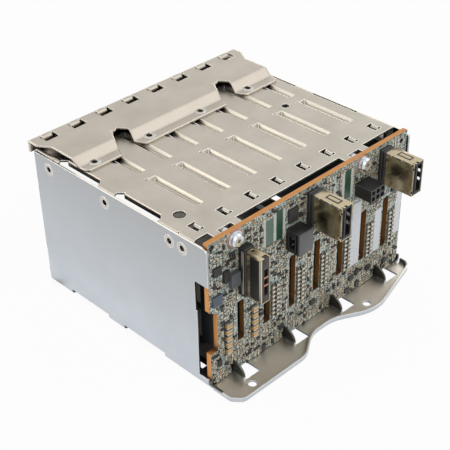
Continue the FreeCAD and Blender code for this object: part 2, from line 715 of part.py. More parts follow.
def make_tub():
    body = new_body("cage_tub")
    slab_front = s.wall_step - 2 * s.sheet_gauge
    slab = plan(body, 0, "flange_outline")
    corners = [(-wall_face, slab_front), (wall_face, slab_front)]
    corners += flange_corners()
    outline(slab, corners)
    last = pad(body, slab, s.flange_rim, "flange_slab")
    doc.recompute()
    for number, ((x, y), radius) in enumerate(zip(flange_corners(), FLANGE_ROUNDS)):
        edges = upright_edges_near(last.Shape, [(x, y)])
        last = fillet(body, last, edges, as_size(radius), "flange_round_%d" % number)
        doc.recompute()
    foot_loop = [
        "Edge%d" % number
        for number, edge in enumerate(last.Shape.Edges, start=1)
        if edge.BoundBox.ZMax < 0.001 and edge.BoundBox.YMax > slab_front.value + 0.001
    ]
    last = fillet(body, last, foot_loop, s.sheet_gauge * 1.5, "flange_foot_round")
    doc.recompute()
    top = max(range(len(last.Shape.Faces)), key=lambda k: last.Shape.Faces[k].CenterOfMass.z)
    tray = new_feature(body, "Thickness", "flange_tray")
    tray.Base = (last, ["Face%d" % (top + 1)])
    bind(tray, "Value", s.sheet_gauge)
    tray.Reversed = True
    doc.recompute()
    open_front = plan(body, s.flange_rim, "open_front")
    relief = s.rim_relief
    relief_depth = s.tub_bend + s.rim_relief_side
    outline(open_front, [
        (-wall_face - 1, slab_front - 1),
        (wall_face + 1, slab_front - 1),
        (wall_face + 1, s.wall_rear + relief),
        (wall_face - relief_depth, s.wall_rear + relief),
        (wall_face - relief_depth, s.wall_rear),
        (-wall_face + relief_depth, s.wall_rear),
        (-wall_face + relief_depth, s.wall_rear + relief),
        (-wall_face - 1, s.wall_rear + relief),
    ])
    pocket(body, open_front, s.flange_rim + 1, "rim_relief")

    # Channel of the base and both walls
    profile = front_view(body, s.wall_rear, "channel_profile")
    bend = s.tub_bend
    inner = bend - s.sheet_gauge
    corners = [
        (-wall_face, s.wall_height),
        (-wall_face, bend),
        (-wall_face + bend, as_size(0)),
        (wall_face - bend, as_size(0)),
        (wall_face, bend),
        (wall_face, s.wall_height),
        (wall_inside, s.wall_height),
        (wall_inside, bend),
        (wall_inside - inner, s.sheet_gauge),
        (-wall_inside + inner, s.sheet_gauge),
        (-wall_inside, bend),
        (-wall_inside, s.wall_height),
    ]
    outline(profile, corners, {1: (bend, -1), 3: (bend, -1), 7: (inner, 1), 9: (inner, 1)})
    pad(body, profile, s.wall_rear + s.cage_front, "channel")

    # Stepped rear edge of both walls, with a round upper corner
    edge = side_view(body, wall_face + 1, "wall_rear_edge")
    knee = s.wall_rear + 1
    outline(edge, [
        (knee, s.wall_foot_top),
        (knee, s.wall_step_top),
        (s.wall_step, s.wall_step_top),
        (s.wall_step, s.wall_step_top - s.wall_notch_height),
        (s.wall_step + s.wall_notch_depth, s.wall_step_top - s.wall_notch_height),
        (s.wall_step + s.wall_notch_depth, s.wall_foot_top),
    ])
    pocket(body, edge, s.cage_width + 2, "wall_steps")
    corner = side_view(body, wall_face + 1, "wall_corner")
    round_corner = s.wall_corner
    outline(corner, [
        (s.wall_rear - round_corner, s.wall_height),
        (s.wall_rear, s.wall_height - round_corner),
        (s.wall_rear + 1, s.wall_height - round_corner),
        (s.wall_rear + 1, s.wall_height + 1),
        (s.wall_rear - round_corner, s.wall_height + 1),
    ], {0: (round_corner, 1)})
    pocket(body, corner, s.cage_width + 2, "wall_corner_cut")

    # Openings along both lower bends
    vents = plan(body, s.vent_rise, "vents")
    inner = wall_face - s.vent_depth
    outer = wall_face + 1
    for front, rear in vent_spans():
        outline(vents, [
            (outer, front),
            (outer, rear),
            (inner + vent_chamfer, rear),
            (inner, rear - vent_chamfer),
            (inner, front + vent_chamfer),
            (inner + vent_chamfer, front),
        ])
    opened = pocket(body, vents, s.vent_rise + 1, "vent_cut")
    mirror(body, [opened], "vent_cut_pair")
    lips = edge_guides(body, as_size(0), 1)
    mirror(body, [lips], "edge_lips_pair")

    guide_ribs(body, as_size(0), 1)
    stop_windows(body, as_size(0), 1)

    # Lead-in lips ahead of the front edge of both walls
    ahead = s.lead_reach
    toe_in = s.lead_toe_in
    lips = []
    for number, (low, high) in enumerate(LEAD_INS):
        level = plan(body, low, "front_lip_%d" % number)
        outline(level, [
            (wall_inside, -s.cage_front + s.lead_root),
            (wall_inside - toe_in, -s.cage_front - ahead),
            (wall_face - toe_in, -s.cage_front - ahead),
            (wall_face, -s.cage_front + s.lead_root),
        ])
        lips.append(pad(body, level, as_size(high - low), "front_lip_pad_%d" % number))
    mirror(body, lips, "front_lip_pair")

    # Hooks that carry the lower edge of the board, and the holes they are lanced from
    first_hook = s.bay_pitch * 3 + s.hook_shift
    clear = plan(body, s.sheet_gauge, "hook_window")
    rounded(
        clear, first_hook - s.hook_window, first_hook,
        board_front - s.hook_window_front, s.hook_end + s.hook_window_rear, s.hook_window_round,
    )
    opened = pocket(body, clear, s.sheet_gauge, "hook_window_cut")
    hook = side_view(body, first_hook, "hook_profile")
    shoulder = s.hook_rise - s.hook_shoulder
    round_back = s.hook_round
    outline(hook, [
        (board_front - s.hook_gap - s.hook_arm, as_size(0)),
        (s.hook_end, as_size(0)),
        (s.hook_end, s.hook_rise - round_back),
        (s.hook_end - round_back, s.hook_rise),
        (s.board_face + s.hook_gap, s.hook_rise),
        (s.board_face + s.hook_gap, shoulder),
        (board_front - s.hook_gap, shoulder),
        (board_front - s.hook_gap, s.hook_rise - s.hook_tip),
        (board_front - s.hook_gap - s.hook_arm, s.hook_rise - s.hook_tip),
    ], {2: (round_back, -1)})
    raised = pad(body, hook, s.sheet_gauge, "hook")
    row(body, [opened, raised], s.bay_pitch * HOOK_STEP, as_size(4), "hook_row")

    # Fixing holes of the rear flange
    holes = plan(body, s.sheet_gauge, "fixing_holes")
    circle(holes, s.flange_hole_near, s.flange_hole_line, s.flange_hole)
    circle(holes, -s.flange_hole_far, s.flange_hole_line, s.flange_hole)
    pocket(body, holes, s.sheet_gauge, "fixing_hole_cut")

    # Countersunk rivet holes near the top of the walls
    punched = rivet_seats(body)
    mirror(body, punched, "rivet_seat_pair")
    return body


def rivet_seats(body):
    """Holes and countersinks of the +X wall, cut from its outer face inwards."""
    straight = side_view(body, wall_face, "rivet_holes")
    sunk = side_view(body, wall_face, "rivet_sinks")
    for place in RIVET_LINES:
        circle(straight, as_size(place), s.rivet_level, rivet_hole)
        circle(sunk, as_size(place), s.rivet_level, s.rivet_head + s.rivet_fit)
    drilled = pocket(body, straight, s.sheet_gauge, "rivet_hole_cut")
    depth = s.rivet_sink
    slope = math.degrees(math.atan2(s.rivet_head.value - s.rivet_radius.value, depth.value))
    dimpled = pocket(body, sunk, depth, "rivet_sink_cut", False, as_size(-slope))
    return [drilled, dimpled]


# Cover: the top sheet with its riveted flanges


def cover_outline(sketch):
    """Sheet outline seen from above, narrowed where the edge openings are."""
    edge = wall_inside - s.cover_bend
    inner = wall_face - s.vent_depth
    far_inner = edge - s.far_vent_depth
    (front_a, rear_a), (front_b, rear_b) = vent_spans()
    tab_rear = board_front - s.cover_tab_gap
    lug_half = s.lug_width / 2
    tab_width = s.cover_tab_width
    corners = [(-edge, -s.cover_front), (edge, -s.cover_front)]
    for front, rear in ((front_a, rear_a), (front_b, rear_b)):
        corners += [
            (edge, front),
            (inner, front + vent_chamfer),
            (inner, rear - vent_chamfer),
            (edge, rear),
        ]
    corners.append((edge, s.cover_rear))
    for bay in SCREW_BAYS:
        middle = s.bay_pitch * bay
        corners += [
            (middle + lug_half + tab_width, s.cover_rear),
            (middle + lug_half + tab_width, tab_rear),
            (middle + lug_half, tab_rear),
            (middle + lug_half, s.cover_rear),
            (middle - lug_half, s.cover_rear),
            (middle - lug_half, tab_rear),
            (middle - lug_half - tab_width, tab_rear),
            (middle - lug_half - tab_width, s.cover_rear),
        ]
    corners.append((-edge, s.cover_rear))
    for front, rear in ((front_b, rear_b), (front_a, rear_a)):
        corners += [
            (-edge, rear),
            (-far_inner, rear - s.far_vent_depth),
            (-far_inner, front + s.far_vent_depth),
            (-edge, front),
        ]
    outline(sketch, corners)


def make_cover():
    body = new_body("top_cover")
    sheet_plan = plan(body, cover_under, "cover_outline")
    cover_outline(sheet_plan)
    pad(body, sheet_plan, s.sheet_gauge, "cover_sheet")

    # Flanges turned down inside the walls, one beside each riveted stretch
    bend = s.cover_bend
    inner = bend - s.sheet_gauge
    spans = (
        (-s.cover_front, -s.front_vent_start),
        (-s.front_vent_end, -s.rear_vent_start),
        (s.rear_vent_end, s.cover_rear),
    )
    flanges = []
    for number, (front, rear) in enumerate(spans):
        profile = front_view(body, rear, "flange_profile_%d" % number)
        outline(profile, [
            (wall_inside - bend, s.cover_height),
            (wall_inside, s.cover_height - bend),
            (wall_inside, s.cover_height - s.cover_flange_drop),
            (wall_inside - s.sheet_gauge, s.cover_height - s.cover_flange_drop),
            (wall_inside - s.sheet_gauge, s.cover_height - bend),
            (wall_inside - bend, cover_under),
        ], {0: (bend, 1), 4: (inner, -1)})
        flanges.append(pad(body, profile, rear - front, "side_flange_%d" % number))
    mirror(body, flanges, "side_flange_pair")

    edge_guides(body, s.cover_height, -1)
    lip_face = wall_face - s.vent_depth
    for number, (front, rear) in enumerate(vent_spans()):
        crest = front_view(body, front + vent_chamfer, "lip_crest_%d" % number)
        outline(crest, [
            (lip_face - s.lip_bend, s.cover_height),
            (lip_face, s.cover_height - s.lip_bend),
            (lip_face, s.cover_height),
        ], {0: (s.lip_bend, 1)})
        body.Tip = pocket(body, crest, rear - front - vent_chamfer * 2, "lip_bend_%d" % number)
    guide_ribs(body, s.cover_height, -1)
    stop_windows(body, s.cover_height, -1)

    # Lugs that hold the board's standoffs
    lugs = plan(body, s.cover_height, "lug_plan")
    bores = front_view(body, s.lug_face, "lug_bores")
    for bay in SCREW_BAYS:
        middle = s.bay_pitch * bay
        half = s.lug_width / 2
        rectangle(lugs, middle - half, middle + half, s.lug_face - s.sheet_gauge, s.lug_face)
        circle(bores, middle, s.screw_level, standoff_shank() + s.rivet_fit)
    pad(body, lugs, s.lug_drop, "lugs", True)
    bridge_gap = plan(body, cover_under, "lug_web")
    for bay in SCREW_BAYS:
        middle = s.bay_pitch * bay
        half = s.lug_width / 2
        rectangle(bridge_gap, middle - half, middle + half, s.cover_rear, s.lug_face)
    pad(body, bridge_gap, s.sheet_gauge, "lug_webs")
    pocket(body, bores, s.sheet_gauge, "lug_bore_cut", True)

    # Plain holes, the bridge's rivet holes and the relief slits ahead of the long ribs
    holes = plan(body, s.cover_height, "cover_holes")
    for x, y, radius in COVER_HOLES:
        circle(holes, as_size(x), as_size(y), as_size(radius))
    for step in range(4):
        circle(holes, bridge_rivet_x(step), -s.bridge_rivet_line, rivet_hole)
    pocket(body, holes, s.sheet_gauge, "cover_hole_cut")
    reliefs = plan(body, s.cover_height, "rib_reliefs")
    for bay in RELIEF_BAYS:
        x = first_guide - s.bay_pitch * bay
        half = s.guide_width / 2
        outline(reliefs, [
            (x + half, -s.bridge_foot_end - s.relief_front),
            (x + half + s.relief_width, -s.bridge_foot_end - s.relief_front),
            (x + half + s.relief_width, -s.bridge_foot_end + s.relief_side),
            (x + half, -s.bridge_foot_end + s.relief_rear),
        ])
    pocket(body, reliefs, s.sheet_gauge, "rib_relief_cut")

    # Hooked slit that frees the front end of each rear rib
    curl = plan(body, s.cover_height, "rib_curl")
    x = first_guide - s.bay_pitch + s.guide_width / 2
    front = s.long_guide_start
    outline(curl, [
        (x - s.curl_width, front),
        (x - s.curl_width, front - s.curl_width),
        (x + s.curl_length, front - s.curl_width),
        (x + s.curl_length, front + s.curl_width),
        (x + s.curl_length - s.curl_width, front + s.curl_width),
        (x + s.curl_length - s.curl_width, front),
    ])
    slit = pocket(body, curl, s.sheet_gauge, "rib_curl_cut")
    row(body, [slit], s.bay_pitch, s.bay_count - 1, "rib_curl_row")

    # Seams where the flanges' bends start and end
    seams = plan(body, s.cover_height, "bend_seams")
    for place in (-s.front_seam, s.rear_seam):
        half = s.seam_width / 2
        rectangle(seams, wall_inside - s.cover_bend / 2, wall_inside + 1, place - half, place + half)
    seam = pocket(body, seams, s.cover_bend, "bend_seam_cut")
    mirror(body, [seam], "bend_seam_pair")

    straight = side_view(body, wall_inside, "flange_rivet_holes")
    for place in RIVET_LINES:
        circle(straight, as_size(place), s.rivet_level, rivet_hole)
    drilled = pocket(body, straight, s.sheet_gauge, "flange_rivet_cut")
    mirror(body, [drilled], "flange_rivet_pair")
    return body


def bridge_rivet_x(step):
    return s.bay_pitch * (s.bridge_first_rivet - 2 * step)


# Bridge: the raised plate over the front of the cover


def make_bridge():
    body = new_body("front_bridge")
    profile = side_view(body, -s.bridge_half, "bridge_profile")
    under = s.bridge_height - s.sheet_gauge
    foot = s.cover_height + s.sheet_gauge
    slope_shift = s.bridge_slope_shift
    lip_round = s.bridge_lip_round
    outline(profile, [
        (-s.bridge_lip_face, s.bridge_height - lip_round),
        (-s.bridge_lip_face + lip_round, s.bridge_height),
        (-s.bridge_flat_end, s.bridge_height),
        (-s.bridge_foot_start, foot),
        (-s.bridge_foot_end, foot),
        (-s.bridge_foot_end, s.cover_height),
        (-s.bridge_foot_start - slope_shift, s.cover_height),
        (-s.bridge_flat_end - slope_shift, under),
        (-s.bridge_lip_face + s.sheet_gauge, under),
        (-s.bridge_lip_face + s.sheet_gauge, s.bridge_lip_bottom),
        (-s.bridge_lip_face, s.bridge_lip_bottom),
    ], {0: (lip_round, 1)})
    pad(body, profile, s.bridge_half * 2, "bridge_sheet")

    high = s.bridge_height + 1
    through = s.bridge_height - s.cover_height + 2

    # Waist behind the front corners
    waist = plan(body, high, "waist")
    outer = s.bridge_half + 1
    clear = 0.2
    outline(waist, [
        (outer, -s.waist_start),
        (s.bridge_half, -s.waist_start),
        (s.bridge_waist, -s.waist_end),
        (s.bridge_waist, -s.bridge_flat_end),
        (s.bridge_waist - s.foot_side, -s.bridge_foot_end - s.foot_side_length),
        (s.bridge_waist - s.foot_corner, -s.bridge_foot_end + clear),
        (outer, -s.bridge_foot_end + clear),
    ])
    waists = pocket(body, waist, through, "waist_cut")
    mirror(body, [waists], "waist_pair")

    # Keyhole notches that leave three feet
    notches = plan(body, high, "notches")
    eye = s.notch_eye
    for centre in (s.notch_near, -s.notch_far):
        outline(notches, [
            (centre - eye, -s.notch_eye_line),
            (centre - eye - s.notch_knee, -s.notch_knee_line),
            (centre - s.notch_far_throat, -s.bridge_foot_start),
            (centre - s.notch_far_mouth, -s.bridge_foot_end + 1),
            (centre + s.notch_near_mouth, -s.bridge_foot_end + 1),
            (centre + s.notch_near_throat, -s.notch_near_line),
            (centre + eye, -s.notch_neck_line),
            (centre + eye, -s.notch_eye_line),
        ], {7: (eye + s.notch_eye_fit, -1)})
    pocket(body, notches, through, "notch_cut")

    # Latch windows in every bay, each with a tongue curled up and back from the front strip
    window = plan(body, high, "latch_window")
    half = s.latch_width / 2
    rectangle(window, first_bay - half, first_bay + half, s.latch_strip - s.bridge_lip_face, -s.latch_rear)
    opened = pocket(body, window, through, "latch_window_cut")
    tongue = side_view(body, first_bay + half - s.tongue_side - s.tongue_width, "latch_tongue")
    root = s.tongue_gauge / 2 - s.bridge_lip_face
    level = s.bridge_height - s.tongue_gauge / 2
    curl = tongue_chord * TONGUE_BOW
    outline(tongue, [
        (root, level),
        (root + s.tongue_reach, level - s.tongue_dip),
        (root + s.tongue_reach - s.tongue_gauge, level - s.tongue_dip - s.tongue_gauge * TONGUE_TIP),
        (root + s.tongue_gauge, level - s.tongue_gauge * TONGUE_ROOT),
    ], {0: (curl, 1), 2: (curl - s.tongue_gauge, -1)})
    bent = pad(body, tongue, s.tongue_width, "latch_tongue_bent")
    row(body, [opened, bent], s.bay_pitch, s.bay_count, "latch_row")

    # Countersunk rivet holes in the feet
    straight = plan(body, foot, "bridge_rivet_holes")
    sunk = plan(body, foot, "bridge_rivet_sinks")
    for step in range(4):
        circle(straight, bridge_rivet_x(step), -s.bridge_rivet_line, rivet_hole)
        circle(sunk, bridge_rivet_x(step), -s.bridge_rivet_line, s.rivet_head + s.rivet_fit)
    pocket(body, straight, s.sheet_gauge, "bridge_rivet_hole_cut")
    depth = s.rivet_sink
    slope = math.degrees(math.atan2(s.rivet_head.value - s.rivet_radius.value, depth.value))
    pocket(body, sunk, depth, "bridge_rivet_sink_cut", False, as_size(-slope))
    return body


def rivet(name, x, y, z, along, facing):
    """Hollow countersunk rivet; its head lies at x, y, z and faces along the axis by facing."""
    depth = s.rivet_sink
    shank = s.sheet_gauge * 2 + s.rivet_tail
    start = [as_size(x), as_size(y), as_size(z)]
    step = "XYZ".index(along)
    if facing > 0:
        low = list(start)
        low[step] = start[step] - shank
        cone = list(start)
        cone[step] = start[step] - depth
        head = taper(name + "_head", *cone, along, s.rivet_radius, s.rivet_head, depth)
    else:
        low = list(start)
        head = taper(name + "_head", *start, along, s.rivet_head, s.rivet_radius, depth)
    body = rod(name + "_shank", *low, along, s.rivet_radius, shank)
    bore = rod(name + "_bore", *low, along, s.rivet_bore, shank)
    solid = joined(name + "_solid", [head, body])
    return without(name, solid, [bore])


def make_rivets():
    bridge = []
    for step in range(4):
        name = "bridge_rivet_%d" % (step + 1)
        top = s.cover_height + s.sheet_gauge
        bridge.append(rivet(name, bridge_rivet_x(step), -s.bridge_rivet_line, top, "Z", 1))
    sides = []
    for number, place in enumerate(RIVET_LINES, start=1):
        sides.append(rivet("cover_rivet_l%d" % number, wall_face, place, s.rivet_level, "X", 1))
        sides.append(rivet("cover_rivet_r%d" % number, -wall_face, place, s.rivet_level, "X", -1))
    return [together("bridge_rivets", bridge), together("cover_rivets", sides)]


# Backplane board and its fixings


def standoff_shank():
    return s.screw_radius + s.standoff_wall


def board_slots():
    """X of the air slots, one beside every bay but the first."""
    return [first_bay + s.slot_shift - s.bay_pitch * (bay + 1) for bay in range(int(s.bay_count.value) - 1)]


def make_board():
    body = new_body("backplane_board")
    face = front_view(body, s.board_face, "board_outline")
    clip = s.tub_bend
    notch = board_half - s.board_notch_depth
    outline(face, [
        (-board_half + clip, board_bottom),
        (board_half - clip, board_bottom),
        (board_half, board_bottom + clip),
        (board_half, s.slot_bottom + s.board_notch_start),
        (notch, s.slot_bottom + s.board_notch_start),
        (notch, s.slot_bottom + s.board_notch_height),
        (board_half, s.slot_bottom + s.board_notch_end),
        (board_half, s.board_top),
        (-board_half, s.board_top),
        (-board_half, board_bottom + clip),
    ])
    pad(body, face, s.board_gauge, "board")

    slots = front_view(body, s.board_face, "air_slots")
    for number, x in enumerate(board_slots()):
        top = s.slot_top - s.slot_short if number == 0 else s.slot_top
        rounded(slots, x - s.slot_width / 2, x + s.slot_width / 2, s.slot_bottom, top, s.slot_round)
    pocket(body, slots, s.board_gauge, "air_slot_cut", True)

    holes = front_view(body, s.board_face, "board_holes")
    for bay in SCREW_BAYS:
        circle(holes, s.bay_pitch * bay, s.screw_level, screw_hole + s.board_hole_fit)
    for bay in range(3, int(s.bay_count.value)):
        x = first_bay - s.bay_pitch * (bay - 1) - s.vent_hole_shift
        circle(holes, x, s.vent_hole_level, s.vent_hole)
    circle(holes, board_half - s.near_hole_inset, s.board_top - s.near_hole_drop, s.near_hole)
    circle(holes, -board_half + s.far_hole_inset, s.board_top - s.far_hole_inset, s.far_hole)
    pocket(body, holes, s.board_gauge, "board_hole_cut", True)

    # Notches in the lower edge for the four hooks
    hooks = front_view(body, s.board_face, "hook_notches")
    for step in range(4):
        x = s.bay_pitch * (3 - HOOK_STEP * step) + s.hook_shift
        shoulder = s.hook_rise - s.hook_shoulder + s.hook_gap
        side = s.hook_gap
        rectangle(hooks, x - side, x + s.sheet_gauge + side, board_bottom - 1, shoulder)
    pocket(body, hooks, s.board_gauge, "hook_notch_cut", True)
    return body


def make_fixings():
    """Standoffs in the cover's lugs, and the washers and screws that clamp the board."""
    standoffs = []
    nodes = []
    for number, bay in enumerate(SCREW_BAYS, start=1):
        x = s.bay_pitch * bay
        level = s.screw_level
        length = board_front - s.lug_face
        collar = rod("collar_%d" % number, x, s.lug_face, level, "Y", s.standoff_radius, length)
        root = s.lug_face - s.sheet_gauge
        shank = rod("collar_shank_%d" % number, x, root, level, "Y", standoff_shank(), s.sheet_gauge)
        whole = joined("standoff_blank_%d" % number, [collar, shank])
        tapped = rod("tapped_%d" % number, x, root, level, "Y", screw_hole, board_front - root)
        standoffs.append(without("standoff_%d" % number, whole, [tapped]))

        seat = s.board_face
        disc = rod("washer_disc_%d" % number, x, seat, level, "Y", s.washer_radius, s.washer_gauge)
        eye = rod("washer_eye_%d" % number, x, seat, level, "Y", screw_hole, s.washer_gauge)
        nodes.append(without("screw_washer_%d" % number, disc, [eye]))
        nodes.append(make_screw(number, x))
    nodes.append(together("board_standoffs", standoffs))
    return nodes


def make_screw(number, x):
    """Pan head screw with a six-lobed recess; its axis runs along Y."""
    body = new_body("board_screw_%d" % number)
    under_head = s.board_face + s.washer_gauge
    profile = new_sketch(body, "XY_Plane", s.screw_level, "screw_profile")
    crown = s.screw_crown
    rise = s.screw_head_rise
    outline(profile, [
        (x, under_head - s.screw_length),
        (x + s.screw_radius, under_head - s.screw_length),
        (x + s.screw_radius, under_head),
        (x + s.screw_head, under_head),
        (x + s.screw_head, under_head + rise - crown),
        (x + s.screw_head - crown, under_head + rise),
        (x, under_head + rise),
    ])
    axis = Part.LineSegment(FreeCAD.Vector(x.value, 0, 0), FreeCAD.Vector(x.value, 10, 0))
    line = profile.addGeometry(axis, True)
    rules = [
        Sketcher.Constraint("Vertical", line),
        Sketcher.Constraint("DistanceX", -1, 1, line, 1, x.value),
        Sketcher.Constraint("DistanceY", -1, 1, line, 1, 0.0),
        Sketcher.Constraint("DistanceY", line, 1, line, 2, 10.0),
    ]
    first = profile.ConstraintCount
    profile.addConstraint(rules)
    bind(profile, "Constraints[%d]" % (first + 1), x)
    turned = new_feature(body, "Revolution", "turned")
    turned.Profile = profile
    turned.ReferenceAxis = (profile, ["Axis0"])
    turned.Angle = 360
    recess = front_view(body, under_head + rise, "star_recess")
    corners = []
    arcs = {}
    for step in range(6):
        for half_angle in (-18, 18):
            angle = math.radians(60 * step + half_angle)
            across = x + s.star_radius * math.cos(angle)
            up = s.screw_level + s.star_radius * math.sin(angle)
            corners.append((across, up))
        arcs[2 * step] = (s.star_radius * 0.4, -1)
        arcs[2 * step + 1] = (s.star_radius * 0.5, 1)
    outline(recess, corners, arcs)
    body.Tip = pocket(body, recess, s.star_depth, "star_cut", True)
    return body


# Connectors on the board's front side, one in each bay


def make_drive_connectors():
    nodes = []
    blades = []
    for bay in range(int(s.bay_count.value)):
        middle = first_bay - s.bay_pitch * bay - s.connector_shift
        name = "drive_connector_%d" % (bay + 1)
        body = new_body(name)
        half = s.connector_width / 2
        low = s.connector_bottom
        high = low + s.connector_height
        face = front_view(body, board_front, "housing")
        rounded(face, middle - half, middle + half, low, high, s.connector_round)
        pad(body, face, s.connector_depth, "housing_block")
        mouth = front_view(body, board_front - s.connector_depth, "mouth")
        groove = s.groove_half
        end = s.groove_end
        key = high - s.groove_key
        narrow = groove - s.groove_step
        outline(mouth, [
            (middle - groove, low + end),
            (middle + groove, low + end),
            (middle + groove, key),
            (middle + narrow, key + s.groove_step),
            (middle + narrow, high - end),
            (middle - groove, high - end),
        ])
        pocket(body, mouth, s.connector_depth - s.connector_floor, "mouth_cut")
        ears = front_view(body, board_front - s.connector_depth, "lead_in")
        wide = half - s.lead_in_wall
        skin = s.lead_in_end
        rectangle(ears, middle - wide, middle + wide, low + skin, low + end - skin)
        rectangle(ears, middle - wide, middle + wide, high - end + skin, high - skin)
        last = pocket(body, ears, s.lead_in_depth, "lead_in_cut")
        body.Tip = last
        nodes.append(body)
        back = board_front - s.connector_floor
        blades.append(block(
            "drive_blade_%d" % (bay + 1),
            middle - s.blade_far, middle - s.blade_near, back - s.blade_length, back,
            low + end + s.blade_end, high - end - s.blade_end,
        ))
    nodes.append(together("drive_contacts", blades))
    return nodes


# Connectors on the board's rear side


def make_port(number, right):
    """Metal shelled port; right is the X of its -X side."""
    left = right + s.port_width
    low = s.port_bottom
    high = low + s.port_height
    board = s.board_face
    base_depth = s.port_base_depth
    base = new_body("port_base_%d" % number)
    face = front_view(base, board + base_depth, "base_face")
    rectangle(face, right, left, low - s.port_base_drop, high)
    pad(base, face, base_depth, "base_block")
    core = front_view(base, board + s.port_reach - s.port_lip, "core_face")
    gauge = s.shell_gauge
    rectangle(core, right + gauge, left - gauge, low + gauge, high - gauge)
    pad(base, core, s.port_reach - s.port_lip - base_depth, "core_block")
    mouth = front_view(base, board + s.port_reach - s.port_lip, "core_mouth")
    end = s.port_mouth_end
    rectangle(mouth, right + s.port_mouth_far, left - s.port_mouth_near, low + end, high - end)
    end = s.port_slit_end
    rectangle(mouth, left - s.port_slit_far, left - s.port_slit_near, low + end, high - end)
    last = pocket(base, mouth, s.port_reach / 2, "core_mouth_cut", True)
    base.Tip = last

    shell = new_body("port_shell_%d" % number)
    outer = front_view(shell, board + s.port_reach, "shell_outer")
    rectangle(outer, right, left, low, high)
    rectangle(outer, right + gauge, left - gauge, low + gauge, high - gauge)
    pad(shell, outer, s.port_reach - base_depth, "shell_tube")
    cut = plan(shell, high + 1, "shell_catch")
    rear = board + s.port_reach
    rectangle(cut, right + s.catch_start, right + s.catch_end, rear - s.catch_depth, rear + 1)
    last = pocket(shell, cut, s.port_height + 2, "shell_catch_cut")
    shell.Tip = last

    pins = []
    for step in range(2):
        z = low + s.pad_first + s.pad_step * step + s.pad_lift
        rear = board + s.port_reach - s.pad_end
        x = right + s.port_mouth_far
        name = "port_pad_%d_%d" % (number, step)
        pins.append(block(name, x, x + s.pad_gauge, rear - s.pad_length, rear, z, z + s.pad_height))
    return [base, shell, together("port_contacts_%d" % number, pins)]


def make_slim_port():
    """Narrow metal shelled connector with a black body."""
    right = s.slim_right
    left = s.slim_left
    low = s.slim_low
    high = s.slim_high
    board = s.board_face
    rear = board + s.slim_reach
    base_depth = s.slim_base_depth
    gauge = s.shell_gauge
    base = new_body("slim_port_base")
    face = front_view(base, board + base_depth, "base_face")
    side = s.slim_base_side
    rectangle(face, right - side, left + side, low - s.slim_base_low, high + s.slim_base_high)
    pad(base, face, base_depth, "base_block")
    core = front_view(base, rear - s.slim_lip, "core_face")
    rectangle(core, right + gauge, left - gauge, low + gauge, high - gauge)
    pad(base, core, s.slim_reach - s.slim_lip - base_depth, "core_block")
    mouth = front_view(base, rear - s.slim_lip, "core_mouth")
    side = s.slim_mouth_side
    rectangle(mouth, right + side, left - side, low + s.slim_mouth_low, high - s.slim_mouth_high)
    last = pocket(base, mouth, s.slim_mouth_depth, "core_mouth_cut", True)
    base.Tip = last

    shell = new_body("slim_port_shell")
    outer = front_view(shell, rear, "shell_outer")
    rectangle(outer, right, left, low, high)
    rectangle(outer, right + gauge, left - gauge, low + gauge, high - gauge)
    pad(shell, outer, s.slim_reach - base_depth, "shell_tube")
    windows = side_view(shell, right, "latch_windows")
    for step in range(2):
        z = low + s.slim_window_first + s.slim_window_step * step
        rectangle(windows, rear - s.slim_window_start, rear - s.slim_window_end, z, z + s.slim_window_height)
    last = pocket(shell, windows, gauge, "latch_window_cut", True)
    shell.Tip = last
    label = block(
        "slim_port_plate", left, left + s.plate_gauge, board + s.plate_front, board + s.plate_rear,
        low + s.plate_low, high - s.plate_high,
    )
    label.Label = "slim_port_plate"
    return [base, shell, label]


def make_header(number, right, left, low, high, reach, columns, rows, cell, ledge):
    """Power header: a block of square cells with pins in them and a latch ledge underneath."""
    board = s.board_face
    body = new_body("power_header_%d" % number)
    rear = board + reach
    face = front_view(body, rear, "header_face")
    rectangle(face, right, left, low, high)
    pad(body, face, as_size(reach), "header_block")
    cells = front_view(body, rear, "cells")
    pins = []
    step_x = (left - right) / columns
    step_z = (high - low) / rows
    for column in range(columns):
        for line in range(rows):
            x = right + step_x * (column + 0.5)
            z = low + step_z * (line + 0.5)
            rectangle(cells, x - cell / 2, x + cell / 2, z - cell / 2, z + cell / 2)
            pins.append(block(
                "pin_%d_%d_%d" % (number, column, line),
                x - s.pin_half, x + s.pin_half, board + s.pin_root, rear - s.pin_end,
                z - s.pin_half, z + s.pin_half,
            ))
    last = pocket(body, cells, reach - s.pin_root, "cell_cut", True)
    if ledge:
        inset = s.ledge_inset
        setback = s.ledge_setback
        under = front_view(body, rear - setback, "ledge")
        rectangle(under, right + inset, left - inset, low - inset, low)
        pad(body, under, s.ledge_gauge, "ledge_pad")
        rail = front_view(body, rear - setback, "rail")
        rectangle(rail, right + inset, left - inset, low - s.ledge_rail, low)
        last = pad(body, rail, reach - setback, "rail_pad")
    body.Tip = last
    return [body, together("header_pins_%d" % number, pins)]


# Parts soldered flat on the board's rear face


